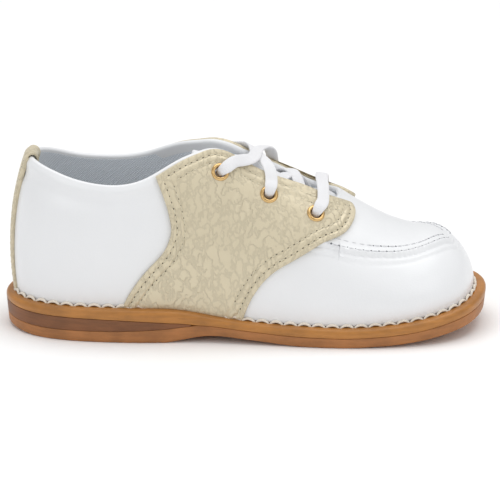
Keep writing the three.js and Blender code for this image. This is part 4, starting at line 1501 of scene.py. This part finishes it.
def lace_band(name, places, acrosses, widths, thicknesses):
    """A flat lace along a smooth route; its width lies along a direction given at each place."""
    points = np.array(places)
    length = np.append(0, np.cumsum(np.linalg.norm(np.diff(points, axis=0), axis=1)))
    count = int(length[-1] / 0.45)
    spots = np.linspace(0, length[-1], count)
    route = np.stack([spline(length, column)(spots) for column in points.T], -1)
    spread = np.stack([np.interp(spots, length, column) for column in np.array(acrosses).T], -1)
    wide = np.interp(spots, length, widths)
    thick = np.interp(spots, length, thicknesses)
    along = unit(np.gradient(route, axis=0))
    across = unit(spread - along * (spread * along).sum(-1, keepdims=True))
    look = np.cross(across, along)
    sides = 20
    angle = np.linspace(0, 2 * math.pi, sides, endpoint=False)
    flat = np.sign(np.cos(angle)) * np.abs(np.cos(angle)) ** 0.75
    deep = np.sign(np.sin(angle)) * np.abs(np.sin(angle)) ** 0.55
    rings, uvs = [], []
    for k in range(count):
        offset = flat[:, None] * across[k] * wide[k] / 2 + deep[:, None] * look[k] * thick[k] / 2
        rings.append(route[k] + offset)
        uvs.append(np.column_stack([np.full(sides, spots[k]), flat * wide[k] / 2]))
    points = np.concatenate(rings + [route[:1], route[-1:]])
    uvs = np.concatenate(uvs + [[(0, 0)], [(length[-1], 0)]])
    faces = grid_faces(count, sides, closed=True)
    start, tail = len(points) - 2, (count - 1) * sides
    for k in range(sides):
        faces.append((start, (k + 1) % sides, k))
        faces.append((start + 1, tail + k, tail + (k + 1) % sides))
    return tidy_mesh(mesh_piece(name, points, faces, uvs), merge=0.000001, angle=60)


def lace_run(name, first, middle, last):
    """A visible run of lace from one eyelet over the throat to another."""
    near_side, near_row, near_edge = first
    far_side, far_row, far_edge = last
    start = out_of_eyelet(near_side, near_row, near_edge[0][0])
    finish = out_of_eyelet(far_side, far_row, far_edge[0][0])
    steps = start + near_edge + middle + far_edge[::-1] + finish[::-1]
    points = [place for place, _ in steps]
    looks = np.array([look for _, look in steps])
    chord = unit(np.gradient(np.array(points), axis=0))
    acrosses = np.cross(chord, looks)
    mouth, tail = len(start) - 1, len(steps) - len(finish)
    acrosses[:mouth] = acrosses[mouth]
    acrosses[tail + 1:] = acrosses[tail]
    acrosses = unit(acrosses)
    width, thick = sizes().lace_width, sizes().lace_thickness
    widths = np.full(len(steps), width)
    thicknesses = np.full(len(steps), thick)
    narrow = (2.7, 2.8, 3.0, 3.6, width)
    fat = (1.9, 1.9, 1.8, 1.5, 1.15 * thick)
    widths[:5], widths[-5:] = narrow, narrow[::-1]
    thicknesses[:5], thicknesses[-5:] = fat, fat[::-1]
    return lace_band(name, points, acrosses, widths, thicknesses)


# How far in front of its eyelets the bar lies, the same for the crossing, and half its spread at the facings
BAR_SHIFT = 1.8
CROSS_SHIFT = 3.9
CROSS_SPREAD = 4.3


def build_laces():
    bar = SOLE_LENGTH * EYELETS["at"][0] + BAR_SHIFT
    cross = SOLE_LENGTH * (EYELETS["at"][1] + EYELETS["at"][2]) / 2 + CROSS_SHIFT
    spread = CROSS_SPREAD
    up = np.array([0.0, 0.0, 1.0])

    def edges(side, x, lift=0.0, slant=0.0):
        return [facing_place(side, x - slant, 2.1, 2.4), facing_place(side, x, 0.3, 2.35 + lift)]

    middle = [(np.array([bar + 0.3, 0.6, edge_spline(bar) + 3.4]), up)]
    piece = lace_run(
        "lace_front", (LATERAL, 0, edges(LATERAL, bar)), middle, (MEDIAL, 0, edges(MEDIAL, bar)),
    )
    finish_piece(piece, "lace_cotton", "white_cotton", "lace_bar")
    for side, name, lift in ((LATERAL, "lace_over", 1.15), (MEDIAL, "lace_beneath", 0.0)):
        top = (side, 2, edges(side, cross - spread, lift / 2, 3.0))
        low = (-side, 1, edges(-side, cross + spread, lift / 2, -0.3))
        over = [(np.array([cross, 0.0, edge_spline(cross) + 2.7 + lift]), up)]
        piece = lace_run(name, top, over, low)
        finish_piece(piece, "lace_cotton", "white_cotton", "lace_cross")
    build_hidden_laces()


def build_hidden_laces():
    """The crossing between the tongue and the facings, from the front row to the middle one."""
    front, back = SOLE_LENGTH * EYELETS["at"][0], SOLE_LENGTH * EYELETS["at"][1]
    middle = (front + back) / 2
    level = -WALL - GAP - 0.95
    width, thick = sizes().lace_width, sizes().lace_thickness
    for side, name, lift in ((LATERAL, "lace_hidden_over", 0.9), (MEDIAL, "lace_hidden_under", 0.0)):
        first, first_look = eyelet_place(side, 0)
        last, last_look = eyelet_place(-side, 1)
        steps = [
            (first + first_look * level, first_look),
            facing_place(side, front - 2.5, 0.5, level),
            (np.array([middle, 0.3, edge_spline(middle) + 0.6 + lift]), np.array([0.0, 0.0, 1.0])),
            facing_place(-side, back + 2.5, 0.5, level),
            (last + last_look * level, last_look),
        ]
        points = [place for place, _ in steps]
        chord = unit(np.gradient(np.array(points), axis=0))
        acrosses = unit(np.cross(chord, np.array([look for _, look in steps])))
        count = len(steps)
        obj = lace_band(name, points, acrosses, np.full(count, width - 0.2), np.full(count, 0.9 * thick))
        finish_piece(obj, "lace_cotton", "white_cotton", "lace_under")


# Stage

CAMERA_PLACE = (118.3, -1426.1, 463.5)
CAMERA_AIM = (82.1, 7.4, 22.7)
LENS = 319.7


# Soft lights: name, place in metres, width and depth, power in watts
LIGHTS = (
    ("overhead", (0.05, 0.15, 1.3), (1.6, 1.2), 11.5),
    ("front_left", (-0.9, -1.2, 0.7), (1.0, 0.8), 2.8),
    ("front_right", (1.0, -0.9, 0.8), (1.0, 0.8), 2.8),
)


def build_stage():
    deselect()
    bpy.ops.mesh.primitive_plane_add(size=8)
    floor = bpy.context.object
    floor.name = floor.data.name = "floor"
    material, _, shader = new_material("pale_floor", 0.9)
    shader.inputs["Base Color"].default_value = (*colours().floor, 1)
    floor.data.materials.append(material)
    scene = bpy.context.scene
    world = bpy.data.worlds.new("studio")
    world.use_nodes = True
    world.node_tree.nodes["Background"].inputs["Color"].default_value = (1, 1, 1, 1)
    world.node_tree.nodes["Background"].inputs["Strength"].default_value = 0.55
    scene.world = world
    scene.view_settings.view_transform = "Standard"
    for name, place, size, power in LIGHTS:
        light = bpy.data.lights.new(name, "AREA")
        light.shape = "RECTANGLE"
        light.size, light.size_y = size
        light.energy = power
        obj = bpy.data.objects.new(name, light)
        scene.collection.objects.link(obj)
        obj.location = place
        obj.rotation_euler = (Vector((0, 0, 0.03)) - Vector(place)).to_track_quat("-Z", "Y").to_euler()
    camera = bpy.data.cameras.new("camera")
    camera.sensor_width = 36
    camera.lens = LENS
    camera.clip_start, camera.clip_end = 0.05, 20
    obj = bpy.data.objects.new("camera", camera)
    scene.collection.objects.link(obj)
    obj.location = metre(CAMERA_PLACE)
    aim = Vector(metre(CAMERA_AIM)) - obj.location
    obj.rotation_euler = aim.to_track_quat("-Z", "Y").to_euler()
    scene.camera = obj


# The add-on

def sizes():
    return bpy.context.scene.saddle_shoe_sizes


def colours():
    return bpy.context.scene.saddle_shoe_colours


def length_property(name, description, default):
    words = description + ", in millimetres"
    return FloatProperty(name=name, description=words, default=default, min=0.1, max=10)


def colour_property(name, description, default):
    return FloatVectorProperty(
        name=name, description=description, default=default, size=3, min=0, max=1, subtype="COLOR",
    )


class ShoeSizes(bpy.types.PropertyGroup):
    """Sizes of the shoe's small parts."""
    saddle_stitch: length_property("Saddle Stitch", "Distance from stitch to stitch on the saddles", 2.16)
    moc_stitch: length_property("Moc Stitch", "Distance from stitch to stitch round the toe's plug", 2.75)
    ledge_stitch: length_property("Ledge Stitch", "Distance from stitch to stitch on the sole's ledge", 4.7)
    lace_width: length_property("Lace Width", "Width of the flat lace", 4.2)
    lace_thickness: length_property("Lace Thickness", "Thickness of the flat lace", 1.05)


class ShoeColours(bpy.types.PropertyGroup):
    """Colours of the shoe's materials."""
    white_leather: colour_property("White Leather", "Vamp, quarters and tongue", (0.83, 0.84, 0.855))
    beige_leather: colour_property("Beige Leather", "Saddles and heel strip", (0.68, 0.6, 0.43))
    midsole: colour_property("Midsole", "Amber ledge under the upper", (0.42, 0.175, 0.035))
    wedge: colour_property("Wedge", "Dark wedge over the heel", (0.2, 0.075, 0.024))
    outsole: colour_property("Outsole", "Tan walking sole", (0.37, 0.15, 0.045))
    lining: colour_property("Lining", "Woven lining", (0.86, 0.91, 0.97))
    sock: colour_property("Sock", "Top of the insole", (0.6, 0.58, 0.54))
    lace: colour_property("Lace", "Cotton lace", (0.88, 0.88, 0.9))
    cream_thread: colour_property("Cream Thread", "Thread of the saddles", (0.72, 0.66, 0.5))
    white_thread: colour_property("White Thread", "Thread of the moc seam", (0.7, 0.71, 0.73))
    sole_thread: colour_property("Sole Thread", "Thread on the ledge", (0.83, 0.76, 0.66))
    brass: colour_property("Brass", "Eyelets", (0.75, 0.5, 0.22))
    floor: colour_property("Floor", "Floor of the studio", (0.97, 0.97, 0.97))


class SHOE_OT_sole(bpy.types.Operator):
    """Model the outsole, the heel wedge, the midsole and the ledge's stitches"""
    bl_idname = "saddle_shoe.sole"
    bl_label = "Sole"

    def execute(self, context):
        build_outsole()
        build_wedge()
        build_midsole()
        build_ledge_stitches()
        return {"FINISHED"}


class SHOE_OT_upper(bpy.types.Operator):
    """Model the white upper with its rolled edge and moc seam"""
    bl_idname = "saddle_shoe.upper"
    bl_label = "Upper"

    def execute(self, context):
        build_upper()
        build_moc_stitches()
        return {"FINISHED"}


class SHOE_OT_inside(bpy.types.Operator):
    """Model the lining and the insole"""
    bl_idname = "saddle_shoe.inside"
    bl_label = "Inside"

    def execute(self, context):
        build_lining()
        build_insole()
        return {"FINISHED"}


class SHOE_OT_saddles(bpy.types.Operator):
    """Model both saddles and their double seams"""
    bl_idname = "saddle_shoe.saddles"
    bl_label = "Saddles"

    def execute(self, context):
        for side in (LATERAL, MEDIAL):
            build_saddle(side)
        build_saddle_stitches()
        return {"FINISHED"}


class SHOE_OT_heel_strip(bpy.types.Operator):
    """Model the strip up the heel"""
    bl_idname = "saddle_shoe.heel_strip"
    bl_label = "Heel Strip"

    def execute(self, context):
        build_back_strip()
        return {"FINISHED"}


class SHOE_OT_tongue(bpy.types.Operator):
    """Model the tongue"""
    bl_idname = "saddle_shoe.tongue"
    bl_label = "Tongue"

    def execute(self, context):
        build_tongue()
        return {"FINISHED"}


class SHOE_OT_eyelets(bpy.types.Operator):
    """Model the brass eyelets"""
    bl_idname = "saddle_shoe.eyelets"
    bl_label = "Eyelets"

    def execute(self, context):
        for side in (LATERAL, MEDIAL):
            for row in range(len(EYELETS["at"])):
                build_eyelet(side, row)
        cut_eyelet_holes()
        return {"FINISHED"}


class SHOE_OT_laces(bpy.types.Operator):
    """Model the lace's runs"""
    bl_idname = "saddle_shoe.laces"
    bl_label = "Laces"

    def execute(self, context):
        build_laces()
        return {"FINISHED"}


class SHOE_OT_stage(bpy.types.Operator):
    """Add the floor, the lights and the camera"""
    bl_idname = "saddle_shoe.stage"
    bl_label = "Stage"

    def execute(self, context):
        build_stage()
        return {"FINISHED"}


STEPS = (
    SHOE_OT_sole, SHOE_OT_upper, SHOE_OT_inside, SHOE_OT_saddles, SHOE_OT_heel_strip, SHOE_OT_tongue,
    SHOE_OT_eyelets, SHOE_OT_laces, SHOE_OT_stage,
)


class SHOE_PT_panel(bpy.types.Panel):
    """The shoe's sizes, colours and steps in the sidebar"""
    bl_idname = "SHOE_PT_panel"
    bl_label = "Saddle Shoe"
    bl_space_type = "VIEW_3D"
    bl_region_type = "UI"
    bl_category = "Saddle Shoe"

    def draw(self, context):
        for group in (context.scene.saddle_shoe_sizes, context.scene.saddle_shoe_colours):
            for name in group.__annotations__:
                self.layout.prop(group, name)
        for step in STEPS:
            self.layout.operator(step.bl_idname)


CLASSES = (ShoeSizes, ShoeColours, *STEPS, SHOE_PT_panel)


def register():
    for cls in CLASSES:
        bpy.utils.register_class(cls)
    bpy.types.Scene.saddle_shoe_sizes = PointerProperty(type=ShoeSizes)
    bpy.types.Scene.saddle_shoe_colours = PointerProperty(type=ShoeColours)


def unregister():
    del bpy.types.Scene.saddle_shoe_colours
    del bpy.types.Scene.saddle_shoe_sizes
    for cls in reversed(CLASSES):
        bpy.utils.unregister_class(cls)


def main():
    register()
    bpy.ops.saddle_shoe.sole()
    bpy.ops.saddle_shoe.upper()
    bpy.ops.saddle_shoe.inside()
    bpy.ops.saddle_shoe.saddles()
    bpy.ops.saddle_shoe.heel_strip()
    bpy.ops.saddle_shoe.tongue()
    bpy.ops.saddle_shoe.eyelets()
    bpy.ops.saddle_shoe.laces()
    bpy.ops.saddle_shoe.stage()


if __name__ == "__main__":
    main()
